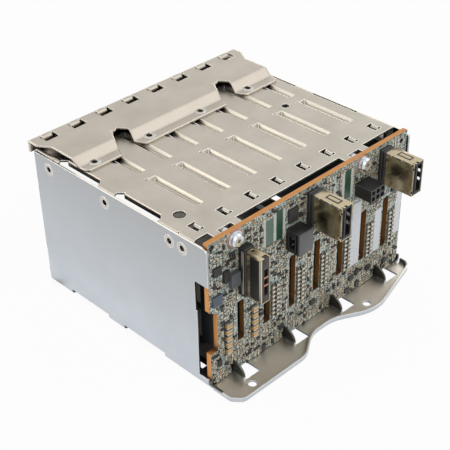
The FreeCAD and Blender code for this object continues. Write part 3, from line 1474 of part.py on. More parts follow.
def make_board_parts():
    face = s.board_face
    ics = [
        ("ic_top", 12.4, 18.4, 1.2, 68.0, 75.0),
        ("ic_near", 61.6, 66.3, 1.1, 63.0, 67.4),
        ("ic_corner", 61.8, 67.4, 1.3, 47.0, 52.4),
        ("inductor", 51.6, 56.8, 2.6, 52.4, 60.0),
        ("ic_block", 57.2, 60.4, 1.6, 57.0, 63.0),
    ]
    nodes = []
    for name, right, left, rise, low, high in ics:
        piece = block(name, right, left, face, face + rise, low, high)
        piece.Label = name
        nodes.append(piece)
    stacks = []
    half = s.stack_half
    for column, x in enumerate(STACK_COLUMNS):
        for step in range(5):
            name = "stack_%d_%d" % (column, step)
            z = s.stack_low + s.stack_step * step
            stacks.append(block(name, x - half, x + half, face, face + s.stack_rise, z, z + s.stack_height))
    nodes.append(together("large_capacitors", stacks))
    small = []
    half = s.chip_half
    for column, x in enumerate(CHIP_COLUMNS):
        for step in range(8):
            for side in (-1, 1):
                z = s.chip_low + s.chip_step * step
                middle = x + s.chip_side * side
                name = "small_%d_%d_%d" % (column, step, side > 0)
                small.append(block(
                    name, middle - half, middle + half, face, face + s.chip_rise, z, z + s.chip_height,
                ))
    nodes.append(together("small_capacitors", small))
    labels = []
    for number, (right, left, low, high) in enumerate((
        (-35.8, -29.2, 17.8, 55.5),
        (-52.4, -47.4, 18.0, 43.5),
        (-68.4, -63.9, 21.0, 47.0),
    )):
        labels.append(block("label_%d" % number, right, left, face, face + s.label_gauge, low, high))
    nodes.append(together("board_labels", labels))
    return nodes


def cuts_nothing(thing):
    """True for a pocket that leaves its base as large as it was."""
    if thing.TypeId != "PartDesign::Pocket" or thing.Shape.isNull():
        return False
    return thing.Shape.Volume > thing.BaseFeature.Shape.Volume - 0.001


def check_and_export(nodes):
    for node in nodes:
        if node.TypeId == "PartDesign::Body":
            node.Tip.Refine = True
    doc.recompute()
    failed = [thing.Name for thing in doc.Objects if "Invalid" in thing.State or "Error" in thing.State]
    failed += [thing.Name for thing in doc.Objects if cuts_nothing(thing)]
    if failed:
        raise RuntimeError("failed: %s" % ", ".join(failed))
    os.makedirs("parts", exist_ok=True)
    for node in nodes:
        if node.Shape.isNull() or not node.Shape.isValid():
            raise RuntimeError("bad shape in %s" % node.Label)
        node.Shape.exportStep("parts/%s.step" % node.Label)
        print("%-22s solids %3d  volume %9.1f" % (node.Label, len(node.Shape.Solids), node.Shape.Volume))


nodes = [make_tub(), make_cover(), make_bridge()]
nodes += make_rivets()
nodes.append(make_board())
nodes += make_fixings()
nodes += make_drive_connectors()
nodes += make_port(1, as_size(-54.5))
nodes += make_port(2, as_size(-2.0))
nodes += make_slim_port()
nodes += make_header(1, as_size(-39.9), as_size(-29.7), as_size(60.8), as_size(67.5), 10.3, 3, 2, 2.5, True)
nodes += make_header(2, as_size(9.8), as_size(19.4), as_size(53.8), as_size(65.5), 8.6, 2, 2, 3.0, False)
nodes += make_board_parts()
check_and_export(nodes)
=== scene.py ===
import math
import random

import bmesh
import bpy
from mathutils import Matrix, Vector


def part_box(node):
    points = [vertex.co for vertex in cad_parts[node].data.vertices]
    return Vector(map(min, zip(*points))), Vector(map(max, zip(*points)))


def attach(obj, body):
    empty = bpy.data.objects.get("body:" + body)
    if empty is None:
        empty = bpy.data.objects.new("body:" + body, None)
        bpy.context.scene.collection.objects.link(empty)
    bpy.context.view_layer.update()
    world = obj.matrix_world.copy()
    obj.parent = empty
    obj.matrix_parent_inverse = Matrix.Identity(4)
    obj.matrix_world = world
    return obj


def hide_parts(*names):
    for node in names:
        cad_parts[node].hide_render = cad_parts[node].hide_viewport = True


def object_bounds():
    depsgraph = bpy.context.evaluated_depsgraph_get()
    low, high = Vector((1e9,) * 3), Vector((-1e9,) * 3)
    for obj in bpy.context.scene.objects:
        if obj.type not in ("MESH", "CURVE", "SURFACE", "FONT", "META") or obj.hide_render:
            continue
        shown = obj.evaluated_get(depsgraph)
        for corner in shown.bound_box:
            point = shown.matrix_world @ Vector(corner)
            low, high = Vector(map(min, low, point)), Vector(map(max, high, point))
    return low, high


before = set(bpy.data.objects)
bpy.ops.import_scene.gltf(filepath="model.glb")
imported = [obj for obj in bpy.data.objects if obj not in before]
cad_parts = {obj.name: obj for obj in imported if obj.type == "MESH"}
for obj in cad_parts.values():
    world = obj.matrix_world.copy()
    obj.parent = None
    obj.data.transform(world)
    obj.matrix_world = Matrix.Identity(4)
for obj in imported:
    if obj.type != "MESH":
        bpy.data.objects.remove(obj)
cad_low, cad_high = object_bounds()

# A steel drive cage with a populated backplane. X runs across the bays, +Y to the rear, +Z up.
# Right is the -X side and left the +X side, as they are seen from behind.
# Every size below is in millimetres and becomes metres in the helpers.
MM = 0.001
CAGE = "cage"
BAYS = 8
PITCH = 17.5
FIRST_BAY = PITCH * (BAYS - 1) / 2


def sides(node):
    """The sides of a CAD node's box in millimetres: right, left, front, rear, low and high."""
    start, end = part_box(node)
    return [corner[axis] / MM for axis in range(3) for corner in (start, end)]


_, BOARD_HALF, _, BOARD, BOARD_BOTTOM, BOARD_TOP = sides("backplane_board")
# The usual radius of a small metal edge, and the angle up to which faces shade as one
SMALL_ROUND = 0.1
SMOOTH_ANGLE = math.radians(40)


def tone(code):
    """A linear colour from an sRGB hex code."""
    parts = [int(code[step:step + 2], 16) / 255 for step in (1, 3, 5)]
    return [v / 12.92 if v <= 0.04045 else ((v + 0.055) / 1.055) ** 2.4 for v in parts] + [1.0]


# Materials

# A colour mix has its share at socket 0, its two colours at 6 and 7 and its result at output 2
COLOURS = {"data_type": "RGBA"}
# Most values of a noise lie between these two
NOISE_LOW = 0.3
NOISE_HIGH = 0.7
# Samples of the bevel and of the occlusion behind an edge or a hollow
SHEET_SAMPLES = 6
SMALL_SAMPLES = 4
HOLLOW_SAMPLES = 8
# Boxes of the tub as spans of X, Y and Z: its inside and the hooks behind it, both darkened by painted shade
TUB_INSIDE = ((-69.8, 69.8), (-70, 59), (0.5, 79.4))
TUB_HOOKS = (None, (60, 69), (2.4, 20))


def add_node(tree, kind, settings=None, inputs=None):
    """One shader node. An input is a value, or a socket of another node to link."""
    node = tree.nodes.new(kind)
    for name, value in (settings or {}).items():
        setattr(node, name, value)
    for name, value in (inputs or {}).items():
        if isinstance(value, bpy.types.NodeSocket):
            tree.links.new(value, node.inputs[name])
        else:
            node.inputs[name].default_value = value
    return node


def new_material(name):
    """An empty material, with its tree and its shader."""
    material = bpy.data.materials.new(name)
    material.use_nodes = True
    tree = material.node_tree
    tree.nodes.clear()
    shader = add_node(tree, "ShaderNodeBsdfPrincipled")
    add_node(tree, "ShaderNodeOutputMaterial", None, {"Surface": shader.outputs[0]})
    return material, tree, shader


def connect(tree, shader, **sources):
    """Link sockets to the shader's inputs, which are named with underscores for spaces."""
    for name, socket in sources.items():
        tree.links.new(socket, shader.inputs[name.replace("_", " ")])


def edge_share(tree, softened, first, last):
    """How far a point lies on a rounded edge: 0 on the flat, 1 where the normals part most."""
    plain = add_node(tree, "ShaderNodeNewGeometry")
    turn = add_node(tree, "ShaderNodeVectorMath", {"operation": "DOT_PRODUCT"}, {
        0: softened, 1: plain.outputs["Normal"],
    })
    share = add_node(tree, "ShaderNodeMapRange", None, {
        "Value": turn.outputs["Value"], "From Min": first, "From Max": last,
    })
    return share.outputs[0]


def within(tree, place, limits, blur):
    """1 inside a box in millimetres and 0 outside it; an axis without limits is None."""
    axes = add_node(tree, "ShaderNodeSeparateXYZ", None, {0: place})
    share = None
    for axis, span in zip("XYZ", limits):
        if span is None:
            continue
        offset = add_node(tree, "ShaderNodeMath", {"operation": "SUBTRACT"}, {
            0: axes.outputs[axis], 1: (span[0] + span[1]) / 2 * MM,
        })
        distance = add_node(tree, "ShaderNodeMath", {"operation": "ABSOLUTE"}, {0: offset.outputs[0]})
        half = (span[1] - span[0]) / 2
        side = add_node(tree, "ShaderNodeMapRange", {"interpolation_type": "SMOOTHSTEP"}, {
            "Value": distance.outputs[0], "From Min": (half - blur) * MM, "From Max": (half + blur) * MM,
            "To Min": 1.0, "To Max": 0.0,
        })
        if share is None:
            share = side.outputs[0]
        else:
            share = add_node(tree, "ShaderNodeMath", {"operation": "MULTIPLY"}, {
                0: share, 1: side.outputs[0],
            }).outputs[0]
    return share


def painted_shade(tree, colour, reach, closed, depth, inside=None):
    """The colour, darkened by painted shade where walls stand all round within the reach."""
    darkest = 0.05
    open_side = add_node(tree, "ShaderNodeAmbientOcclusion", {"samples": HOLLOW_SAMPLES}, {
        "Distance": reach * MM,
    })
    share = add_node(tree, "ShaderNodeMapRange", {"interpolation_type": "SMOOTHSTEP"}, {
        "Value": open_side.outputs["AO"], "From Min": darkest, "From Max": closed,
        "To Min": depth, "To Max": 1.0,
    })
    if inside:
        # Painted shade: deep inside the box even faces near its mouth stay dark
        for name, outer, inner in (("From Min", darkest, 0.52), ("From Max", closed, 1.0)):
            limit = add_node(tree, "ShaderNodeMapRange", None, {
                "Value": inside, "To Min": outer, "To Max": inner,
            })
            tree.links.new(limit.outputs[0], share.inputs[name])
    mixed = add_node(tree, "ShaderNodeMix", {"data_type": "RGBA", "blend_type": "MULTIPLY"}, {
        0: 1.0, 6: colour, 7: share.outputs[0],
    })
    return mixed.outputs[2]


def sheet_steel(name, light, dark, edge, roughness, mottle, softness=0.45, closed=0.45, reach=125.0,
                top=None, high=None, inner=None, hooks=None):
    """Zinc plated cold rolled steel: a soft cloudy sheen, a fine grain, painted highlights on rounded edges
    and painted shade in hollows.
    """
    material, tree, shader = new_material(name)
    place = add_node(tree, "ShaderNodeTexCoord").outputs["Object"]
    clouds = add_node(tree, "ShaderNodeTexNoise", None, {
        "Vector": place, "Scale": 1 / (mottle * MM), "Detail": 4.0, "Roughness": 0.6,
    })
    # Rolling marks run along the sheet, about 0.8 mm apart
    stretched = add_node(tree, "ShaderNodeMapping", None, {"Vector": place, "Scale": (1.0, 0.12, 0.12)})
    grain = add_node(tree, "ShaderNodeTexNoise", None, {
        "Vector": stretched.outputs[0], "Scale": 1 / (0.8 * MM), "Detail": 3.0,
    })
    # Zinc crystals, about 0.5 mm across
    crystals = add_node(tree, "ShaderNodeTexNoise", None, {
        "Vector": place, "Scale": 1 / (0.5 * MM), "Detail": 2.0,
    })
    spread = add_node(tree, "ShaderNodeMapRange", None, {
        "Value": clouds.outputs[0], "From Min": NOISE_LOW, "From Max": NOISE_HIGH,
    })
    base = add_node(tree, "ShaderNodeMix", COLOURS, {0: spread.outputs[0], 6: tone(dark), 7: tone(light)})
    if high:
        # Painted light: a wall is lighter at its foot, where it mirrors the bright floor, and darker towards
        # its top
        height = add_node(tree, "ShaderNodeSeparateXYZ", None, {0: place})
        share = add_node(tree, "ShaderNodeMapRange", None, {
            "Value": height.outputs["Z"], "From Min": 15 * MM, "From Max": 80 * MM,
        })
        base = add_node(tree, "ShaderNodeMix", COLOURS, {
            0: share.outputs[0], 6: base.outputs[2], 7: tone(high),
        })
    if top:
        # Painted light: faces that look up take a warmer tone, as under warm light from above
        side = add_node(tree, "ShaderNodeSeparateXYZ", None, {
            0: add_node(tree, "ShaderNodeNewGeometry").outputs["Normal"],
        })
        share = add_node(tree, "ShaderNodeMapRange", None, {
            "Value": side.outputs["Z"], "From Min": 0.5, "From Max": 0.9,
        })
        base = add_node(tree, "ShaderNodeMix", COLOURS, {
            0: share.outputs[0], 6: base.outputs[2], 7: tone(top),
        })
    soft = add_node(tree, "ShaderNodeBevel", {"samples": SHEET_SAMPLES}, {"Radius": softness * MM})
    rim = edge_share(tree, soft.outputs[0], 0.995, 0.88)
    # Painted highlight: rounded edges take the edge colour
    edge_highlit = add_node(tree, "ShaderNodeMix", COLOURS, {0: rim, 6: base.outputs[2], 7: tone(edge)})
    sheen = add_node(tree, "ShaderNodeMapRange", None, {
        "Value": clouds.outputs[0], "From Min": NOISE_LOW, "From Max": NOISE_HIGH,
        "To Min": roughness - 0.05, "To Max": roughness + 0.06,
    })
    both = add_node(tree, "ShaderNodeMath", {"operation": "ADD"}, {
        0: grain.outputs[0], 1: crystals.outputs[0],
    })
    bump = add_node(tree, "ShaderNodeBump", None, {
        "Height": both.outputs[0], "Strength": 0.12, "Distance": 0.02 * MM, "Normal": soft.outputs[0],
    })
    colour = edge_highlit.outputs[2]
    if hooks:
        # Painted shade darkens the hooks in the narrow gap behind the board
        colour = add_node(tree, "ShaderNodeMix", COLOURS, {
            0: within(tree, place, hooks, 0.3), 6: colour, 7: tone("#6A6864"),
        }).outputs[2]
    # Painted shade darkens the sheet in its hollows, and the tub all over its inside
    inside = within(tree, place, inner, 0.15) if inner else None
    colour = painted_shade(tree, colour, reach, closed, 0.07, inside)
    connect(tree, shader, Base_Color=colour, Roughness=sheen.outputs[0], Normal=bump.outputs[0])
    shader.inputs["Metallic"].default_value = 1.0
    return material


def fine_metal(name, light, dark, edge, roughness, softness=0.12):
    """Plated metal of a small pressed piece: a smooth sheen with slight cloudiness, painted highlights on
    edges and painted shade in recesses.
    """
    material, tree, shader = new_material(name)
    place = add_node(tree, "ShaderNodeTexCoord").outputs["Object"]
    clouds = add_node(tree, "ShaderNodeTexNoise", None, {
        "Vector": place, "Scale": 1 / (6.0 * MM), "Detail": 3.0,
    })
    specks = add_node(tree, "ShaderNodeTexNoise", None, {
        "Vector": place, "Scale": 1 / (0.6 * MM), "Detail": 2.0,
    })
    base = add_node(tree, "ShaderNodeMix", COLOURS, {0: clouds.outputs[0], 6: tone(dark), 7: tone(light)})
    sheen = add_node(tree, "ShaderNodeMapRange", None, {
        "Value": clouds.outputs[0], "To Min": roughness - 0.06, "To Max": roughness + 0.08,
    })
    soft = add_node(tree, "ShaderNodeBevel", {"samples": SMALL_SAMPLES}, {"Radius": softness * MM})
    rim = edge_share(tree, soft.outputs[0], 0.99, 0.85)
    # Painted highlight: rounded edges take the edge colour
    edge_highlit = add_node(tree, "ShaderNodeMix", COLOURS, {0: rim, 6: base.outputs[2], 7: tone(edge)})
    bump = add_node(tree, "ShaderNodeBump", None, {
        "Height": specks.outputs[0], "Strength": 0.1, "Distance": 0.01 * MM, "Normal": soft.outputs[0],
    })
    # Painted shade darkens its recesses and bores
    colour = painted_shade(tree, edge_highlit.outputs[2], 3.0, 0.4, 0.25)
    connect(tree, shader, Base_Color=colour, Roughness=sheen.outputs[0], Normal=bump.outputs[0])
    shader.inputs["Metallic"].default_value = 1.0
    return material


def moulded(name, light, dark, edge, roughness, softness=0.25):
    """Moulded plastic, ceramic or epoxy: a dull skin with a fine spark-eroded grain and painted highlights on
    its edges.
    """
    material, tree, shader = new_material(name)
    place = add_node(tree, "ShaderNodeTexCoord").outputs["Object"]
    clouds = add_node(tree, "ShaderNodeTexNoise", None, {
        "Vector": place, "Scale": 1 / (5.0 * MM), "Detail": 3.0,
    })
    # Grain of the mould's skin, about 0.4 mm across
    specks = add_node(tree, "ShaderNodeTexNoise", None, {
        "Vector": place, "Scale": 1 / (0.4 * MM), "Detail": 2.0,
    })
    base = add_node(tree, "ShaderNodeMix", COLOURS, {0: clouds.outputs[0], 6: tone(dark), 7: tone(light)})
    sheen = add_node(tree, "ShaderNodeMapRange", None, {
        "Value": specks.outputs[0], "To Min": roughness - 0.08, "To Max": roughness + 0.08,
    })
    soft = add_node(tree, "ShaderNodeBevel", {"samples": SMALL_SAMPLES}, {"Radius": softness * MM})
    rim = edge_share(tree, soft.outputs[0], 0.99, 0.8)
    # Painted highlight: rounded edges take the edge colour
    edge_highlit = add_node(tree, "ShaderNodeMix", COLOURS, {0: rim, 6: base.outputs[2], 7: tone(edge)})
    bump = add_node(tree, "ShaderNodeBump", None, {
        "Height": specks.outputs[0], "Strength": 0.3, "Distance": 0.015 * MM, "Normal": soft.outputs[0],
    })
    connect(tree, shader, Base_Color=edge_highlit.outputs[2], Roughness=sheen.outputs[0], Normal=bump.outputs[0])
    return material


def board_laminate():
    """Glass epoxy board: cut edges of bare tan laminate, and faces of solder mask over copper tracks."""
    material, tree, shader = new_material("solder_masked_laminate")
    place = add_node(tree, "ShaderNodeTexCoord").outputs["Object"]
    flat = add_node(tree, "ShaderNodeMapping", None, {"Vector": place, "Rotation": (math.pi / 2, 0, 0)})
    # Mask over inner copper planes, in patches of about 9 mm
    planes = add_node(tree, "ShaderNodeTexVoronoi", {"distance": "CHEBYCHEV"}, {
        "Vector": flat.outputs[0], "Scale": 1 / (9.0 * MM),
    })
    colour = add_node(tree, "ShaderNodeMix", COLOURS, {
        0: planes.outputs["Color"], 6: tone("#62766B"), 7: tone("#93A39B"),
    })
    # Tracks of about 0.35 mm, wider than real ones so that they show
    tracks = add_node(tree, "ShaderNodeTexBrick", {"offset": 0.37, "offset_frequency": 3}, {
        "Vector": flat.outputs[0], "Scale": 1 / (3.4 * MM), "Mortar Size": 0.06, "Mortar Smooth": 0.1,
        "Brick Width": 1.9, "Row Height": 0.42,
    })
    colour = add_node(tree, "ShaderNodeMix", COLOURS, {
        0: tracks.outputs["Fac"], 6: colour.outputs[2], 7: tone("#B4BFBA"),
    })
    # Shadows and flux, tan solder and pale pads between the parts: size of a cell in mm, share, colour
    for cell, share, code in ((1.9, 0.3, "#2F342E"), (2.3, 0.24, "#A08A66"), (1.3, 0.3, "#DEE0DA")):
        marks = add_node(tree, "ShaderNodeTexVoronoi", {"distance": "CHEBYCHEV"}, {
            "Vector": flat.outputs[0], "Scale": 1 / (cell * MM), "Randomness": 0.8,
        })
        marked = add_node(tree, "ShaderNodeMath", {"operation": "LESS_THAN"}, {
            0: marks.outputs["Distance"], 1: share,
        })
        colour = add_node(tree, "ShaderNodeMix", COLOURS, {
            0: marked.outputs[0], 6: colour.outputs[2], 7: tone(code),
        })
    # Cut edges show the laminate's own tan glass cloth, with layers about 0.3 mm apart
    layers = add_node(tree, "ShaderNodeTexNoise", None, {
        "Vector": add_node(tree, "ShaderNodeMapping", None, {
            "Vector": place, "Scale": (0.15, 3.0, 0.15),
        }).outputs[0],
        "Scale": 1 / (0.9 * MM), "Detail": 2.0,
    })
    laminate = add_node(tree, "ShaderNodeMix", COLOURS, {
        0: layers.outputs[0], 6: tone("#C97A2C"), 7: tone("#F0AC5C"),
    })
    # Painted shade darkens the cut walls of the narrow slots
    open_side = add_node(tree, "ShaderNodeAmbientOcclusion", {"samples": HOLLOW_SAMPLES}, {
        "Distance": 8.0 * MM,
    })
    slot_shade = add_node(tree, "ShaderNodeMapRange", None, {
        "Value": open_side.outputs["AO"], "From Min": 0.72, "From Max": 0.92,
    })
    cut_edge = add_node(tree, "ShaderNodeMix", COLOURS, {
        0: slot_shade.outputs[0], 6: tone("#5E3F22"), 7: laminate.outputs[2],
    })
    soft = add_node(tree, "ShaderNodeBevel", {"samples": SMALL_SAMPLES}, {"Radius": 0.3 * MM})
    side = add_node(tree, "ShaderNodeSeparateXYZ", None, {
        0: add_node(tree, "ShaderNodeNewGeometry").outputs["True Normal"],
    })
    faced = add_node(tree, "ShaderNodeMath", {"operation": "ABSOLUTE"}, {0: side.outputs["Y"]})
    masked = add_node(tree, "ShaderNodeMath", {"operation": "GREATER_THAN"}, {0: faced.outputs[0], 1: 0.7})
    whole = add_node(tree, "ShaderNodeMix", COLOURS, {
        0: masked.outputs[0], 6: cut_edge.outputs[2], 7: colour.outputs[2],
    })
    bump = add_node(tree, "ShaderNodeBump", None, {
        "Height": tracks.outputs["Fac"], "Strength": 0.3, "Distance": 0.03 * MM, "Normal": soft.outputs[0],
    })
    connect(tree, shader, Base_Color=whole.outputs[2], Normal=bump.outputs[0])
    shader.inputs["Roughness"].default_value = 0.42
    return material


def paper_label():
    """Matt coated paper: white, slightly fibrous, with faint creases."""
    material, tree, shader = new_material("coated_paper")
    place = add_node(tree, "ShaderNodeTexCoord").outputs["Object"]
    fibres = add_node(tree, "ShaderNodeTexNoise", None, {
        "Vector": place, "Scale": 1 / (1.2 * MM), "Detail": 4.0,
    })
    base = add_node(tree, "ShaderNodeMix", COLOURS, {
        0: fibres.outputs[0], 6: tone("#D6D9E0"), 7: tone("#EDEFF3"),
    })
    bump = add_node(tree, "ShaderNodeBump", None, {
        "Height": fibres.outputs[0], "Strength": 0.2, "Distance": 0.02 * MM,
    })
    connect(tree, shader, Base_Color=base.outputs[2], Normal=bump.outputs[0])
    shader.inputs["Roughness"].default_value = 0.6
    return material


# Every finish of the cage by a short name, each with its light, dark and edge colour and its roughness; the
# edge colour is a painted highlight
finish = {
    # Painted light: the wall sheet is toned cooler than the cover and the bridge, for the light that falls on
    # each
    "tub": sheet_steel(
        "zinc_plated_wall_sheet", "#CBD0D6", "#C0C6CC", "#F2F4F5", 0.42, mottle=22.0,
        top="#FBF3E6", high="#B2B4B6", inner=TUB_INSIDE, hooks=TUB_HOOKS,
    ),
    "cover": sheet_steel(
        "zinc_plated_cover_sheet", "#C4BDB1", "#B7AFA3", "#FFFDF6", 0.34, mottle=16.0,
        softness=0.6, closed=0.3,
    ),
    "bridge": sheet_steel(
        "zinc_plated_bridge_sheet", "#C2BAAE", "#B4ACA0", "#DED7CB", 0.34, mottle=18.0,
        softness=1.5, closed=0.3,
    ),
    "rivet": sheet_steel(
        "zinc_plated_rivet", "#DAD6CF", "#B8B4AD", "#FFFDF8", 0.24, mottle=3.0,
        softness=0.35, closed=0.85, reach=5.0,
    ),
    "screw": fine_metal("bright_zinc_screw", "#E4E8EC", "#C2C8CE", "#FFFFFF", 0.22),
    "shell": fine_metal("nickel_plated_bronze", "#CDBE9F", "#B5A586", "#F3E8CF", 0.22, softness=0.3),
    "strip": fine_metal("bright_nickel_strip", "#D8D4CB", "#C2BEB5", "#F4F2EC", 0.3),
    "gold": fine_metal("gold_plated_contact", "#E2BE6A", "#C79C42", "#F6DC9A", 0.25),
    "tin": fine_metal("matt_tin", "#E6E5DE", "#C2C1B8", "#F6F5F0", 0.38),
    "copper": fine_metal("pink_copper_pad", "#D0A08C", "#B98673", "#E4BCAA", 0.42),
    "nylon": moulded("black_nylon", "#2B2A2B", "#1A191A", "#6E6D6E", 0.42, softness=0.35),
    "socket": moulded("black_connector_resin", "#202224", "#141517", "#3A3C3E", 0.5),
    "grey_nylon": moulded("dark_grey_nylon", "#6A6B6C", "#5A5B5C", "#7E7F80", 0.45),
    "epoxy": moulded("black_moulding_epoxy", "#393837", "#252423", "#5C5B59", 0.48),
    "resistor": moulded("black_resistor_glaze", "#262524", "#161514", "#3C3B3A", 0.3),
    "ceramic": moulded("tan_fired_ceramic", "#BE9C6E", "#937146", "#D9BE95", 0.45),
    "stack": moulded("orange_tan_fired_ceramic", "#DDB57C", "#C3975A", "#EDD0A0", 0.42),
    "pale_ceramic": moulded("pale_fired_ceramic", "#F2E8D0", "#DCCDA9", "#FBF6E8", 0.45),
    "powder": moulded("grey_iron_powder", "#6B6E72", "#55585C", "#85888C", 0.55),
    "blue_epoxy": moulded("blue_grey_epoxy", "#5C6575", "#474F5E", "#77808F", 0.4),
    "header": moulded("black_header_nylon", "#2A2A2B", "#1C1C1D", "#A5A4A2", 0.4, softness=0.3),
    "brown_resin": moulded("dark_brown_resin", "#40362E", "#2E2620", "#6E6254", 0.4),
    "pale_mask": moulded("pale_bare_laminate", "#DCDDD4", "#C4C8BE", "#E4E5DE", 0.5),
    "ink": moulded("white_legend_ink", "#E3E5E0", "#C9CCC6", "#EFF0EC", 0.6),
    "mask": moulded("dark_green_solder_mask", "#2F5A41", "#24452F", "#3E6B50", 0.35),
    "mid_mask": moulded("grey_green_solder_mask", "#6A8478", "#587164", "#8A9C92", 0.4),
    "dark_bed": moulded("brown_black_bed", "#39352C", "#28251E", "#4A463C", 0.45),
    "black_plate": moulded("black_printed_plate", "#1D1D1F", "#121214", "#333335", 0.3),
    "board": board_laminate(),
    "paper": paper_label(),
}
# The CAD nodes that stay in view, by their finish
NODES = {
    "tub": ["cage_tub"],
    "cover": ["top_cover"],
    "bridge": ["front_bridge"],
    "rivet": ["bridge_rivets", "cover_rivets"],
    "board": ["backplane_board"],
    "screw": ["board_standoffs", "screw_washer_1", "screw_washer_2", "board_screw_1", "board_screw_2"],
    "gold": ["drive_contacts", "header_pins_1"],
    "black_plate": ["slim_port_plate"],
    "header": ["power_header_1"],
    "epoxy": ["ic_top", "ic_near", "ic_block"],
    "blue_epoxy": ["ic_corner"],
    "powder": ["inductor"],
    "paper": ["board_labels"],
    "socket": ["drive_connector_%d" % bay for bay in range(1, BAYS + 1)],
}


def dress(piece, key):
    """Give a piece, or a CAD node's object, one finish all over."""
    piece.data.materials.clear()
    piece.data.materials.append(finish[key])


for key, nodes in NODES.items():
    for node in nodes:
        dress(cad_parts[node], key)


# Modelling helpers


def only(piece):
    """Select one object and make it the active one."""
    bpy.ops.object.select_all(action="DESELECT")
    piece.select_set(True)
    bpy.context.view_layer.objects.active = piece


def block(name, right, left, front, rear, low, high):
    """A block from its six sides in millimetres, with its place in its mesh."""
    bpy.ops.object.select_all(action="DESELECT")
    bpy.ops.mesh.primitive_cube_add(size=1.0)
    piece = bpy.context.object
    piece.name = name
    piece.data.name = name
    piece.scale = ((left - right) * MM, (rear - front) * MM, (high - low) * MM)
    piece.location = ((right + left) / 2 * MM, (front + rear) / 2 * MM, (low + high) / 2 * MM)
    bpy.ops.object.transform_apply(location=True, rotation=True, scale=True)
    return piece


def shape(piece, part, test, operator, **settings):
    """Run one edit mode operator on the faces or edges that pass the test."""
    only(piece)
    bpy.ops.object.mode_set(mode="EDIT")
    bpy.ops.mesh.select_mode(type=part)
    bpy.ops.mesh.select_all(action="DESELECT")
    mesh = bmesh.from_edit_mesh(piece.data)
    for element in mesh.faces if part == "FACE" else mesh.edges:
        if test(element):
            element.select_set(True)
    bmesh.update_edit_mesh(piece.data)
    operator(**settings)
    bpy.ops.object.mode_set(mode="OBJECT")


def facing(axis, sign):
    """A test for faces that look along an axis."""
    return lambda face: face.normal[axis] * sign > 0.9


def modify(piece, kind, **settings):
    """Add one modifier with its settings and apply it."""
    only(piece)
    modifier = piece.modifiers.new(kind, kind)
    for name, value in settings.items():
        setattr(modifier, name, value)
    bpy.ops.object.modifier_apply(modifier=modifier.name)


def soften(piece, width, segments=2):
    """Round the sharp edges."""
    modify(piece, "BEVEL", width=width * MM, segments=segments, limit_method="ANGLE")
    bpy.ops.object.shade_smooth_by_angle(angle=SMOOTH_ANGLE)


def trimmed(piece, width, key, segments=2):
    """The piece with its edges rounded and its finish on."""
    soften(piece, width, segments)
    dress(piece, key)
    return piece


def cut(piece, tools):
    """Cut tools out of a piece."""
    for tool in tools:
        modify(piece, "BOOLEAN", operation="DIFFERENCE", solver="EXACT", object=tool)
        bpy.data.objects.remove(tool)


def join(name, pieces):
    """Several objects as one."""
    bpy.ops.object.select_all(action="DESELECT")
    for piece in pieces:
        piece.select_set(True)
    bpy.context.view_layer.objects.active = pieces[0]
    bpy.ops.object.join()
    whole = bpy.context.object
    whole.name = name
    whole.data.name = name
    return whole


def copies(name, model, places):
    """The model, made at the origin, repeated at each place and turned by the angle about Y."""
    made = []
    for x, y, z, turn in places:
        twin = model.copy()
        twin.data = model.data.copy()
        spot = Matrix.Translation((x * MM, y * MM, z * MM))
        twin.data.transform(spot @ Matrix.Rotation(math.radians(turn), 4, "Y"))
        bpy.context.scene.collection.objects.link(twin)
        made.append(twin)
    bpy.data.objects.remove(model)
    return join(name, made)


def finished(piece, replaced=()):
    """Tie a piece to the cage, and hide the CAD nodes that it stands for."""
    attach(piece, CAGE)
    if replaced:
        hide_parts(*replaced)


# Places on the board's rear face: rectangles as right, left, low and high, and columns by their X

# Air slots beside the bays, as in the board, and the half width and ends kept clear round them
SLOT_SHIFT = 5.65
SLOTS = [FIRST_BAY + SLOT_SHIFT - PITCH * (bay + 1) for bay in range(BAYS - 1)]
SLOT_LOW = 18.0
SLOT_HIGH = 48.0
FIRST_SLOT_SHORT = 7
SLOT_ROOM = 2.9
SLOT_END_ROOM = 0.8
LABELS = [(-35.8, -29.2, 17.8, 55.5), (-52.4, -47.4, 18.0, 43.5), (-68.4, -63.9, 21.0, 47.0)]
# Pale strips and bands of mask
BANDS = [
    (32.5, 34.2, 62.5, 77.0), (27.9, 32.7, 62.5, 76.0), (26.0, 27.7, 62.5, 77.0), (21.8, 25.8, 62.0, 78.0),
    (20.0, 21.4, 62.0, 77.5), (-15.3, -13.7, 62.0, 78.0), (-21.6, -20.0, 62.0, 78.0),
    (-26.0, -21.8, 62.0, 78.0), (-28.0, -26.4, 62.0, 77.5),
]
# Ladders of small capacitors: columns, lowest pair and lowest part between pairs, and the step upwards
LADDERS = (26.6, 9.0, -8.2, -25.6, -43.2, -60.8)
LADDER_FIRST = 19.35
LADDER_BETWEEN = 18.1
LADDER_STEP = 2.5
LADDER_PAIR = (-1.5, 1.5)
# Stacks of large capacitors: columns, lowest one and the step upwards
STACKS = (58.2, 41.0)
STACK_FIRST = 17.05
STACK_STEP = 3.7
# Dark beds under a ladder and a stack, and the room that each keeps: half width, low and high
LADDER_BED = (2.7, 17.7, 38.6)
LADDER_ROOM = (3.2, 17.6, 42.0)
STACK_BED = (2.1, 15.0, 34.2)
STACK_ROOM = (2.4, 14.6, 35.0)
BED_RISE = 0.05
BED_RIM = 0.15
# Notch in the board's left side, and the holes in its upper corners
SIDE_NOTCH = (BOARD_HALF - 5.6, BOARD_HALF + 1, 19.0, 45.5)
CORNERS = [
    (BOARD_HALF - 5.0, BOARD_HALF + 1, 75.0, BOARD_TOP),
    (-BOARD_HALF - 1, -BOARD_HALF + 7.0, 74.0, BOARD_TOP),
]
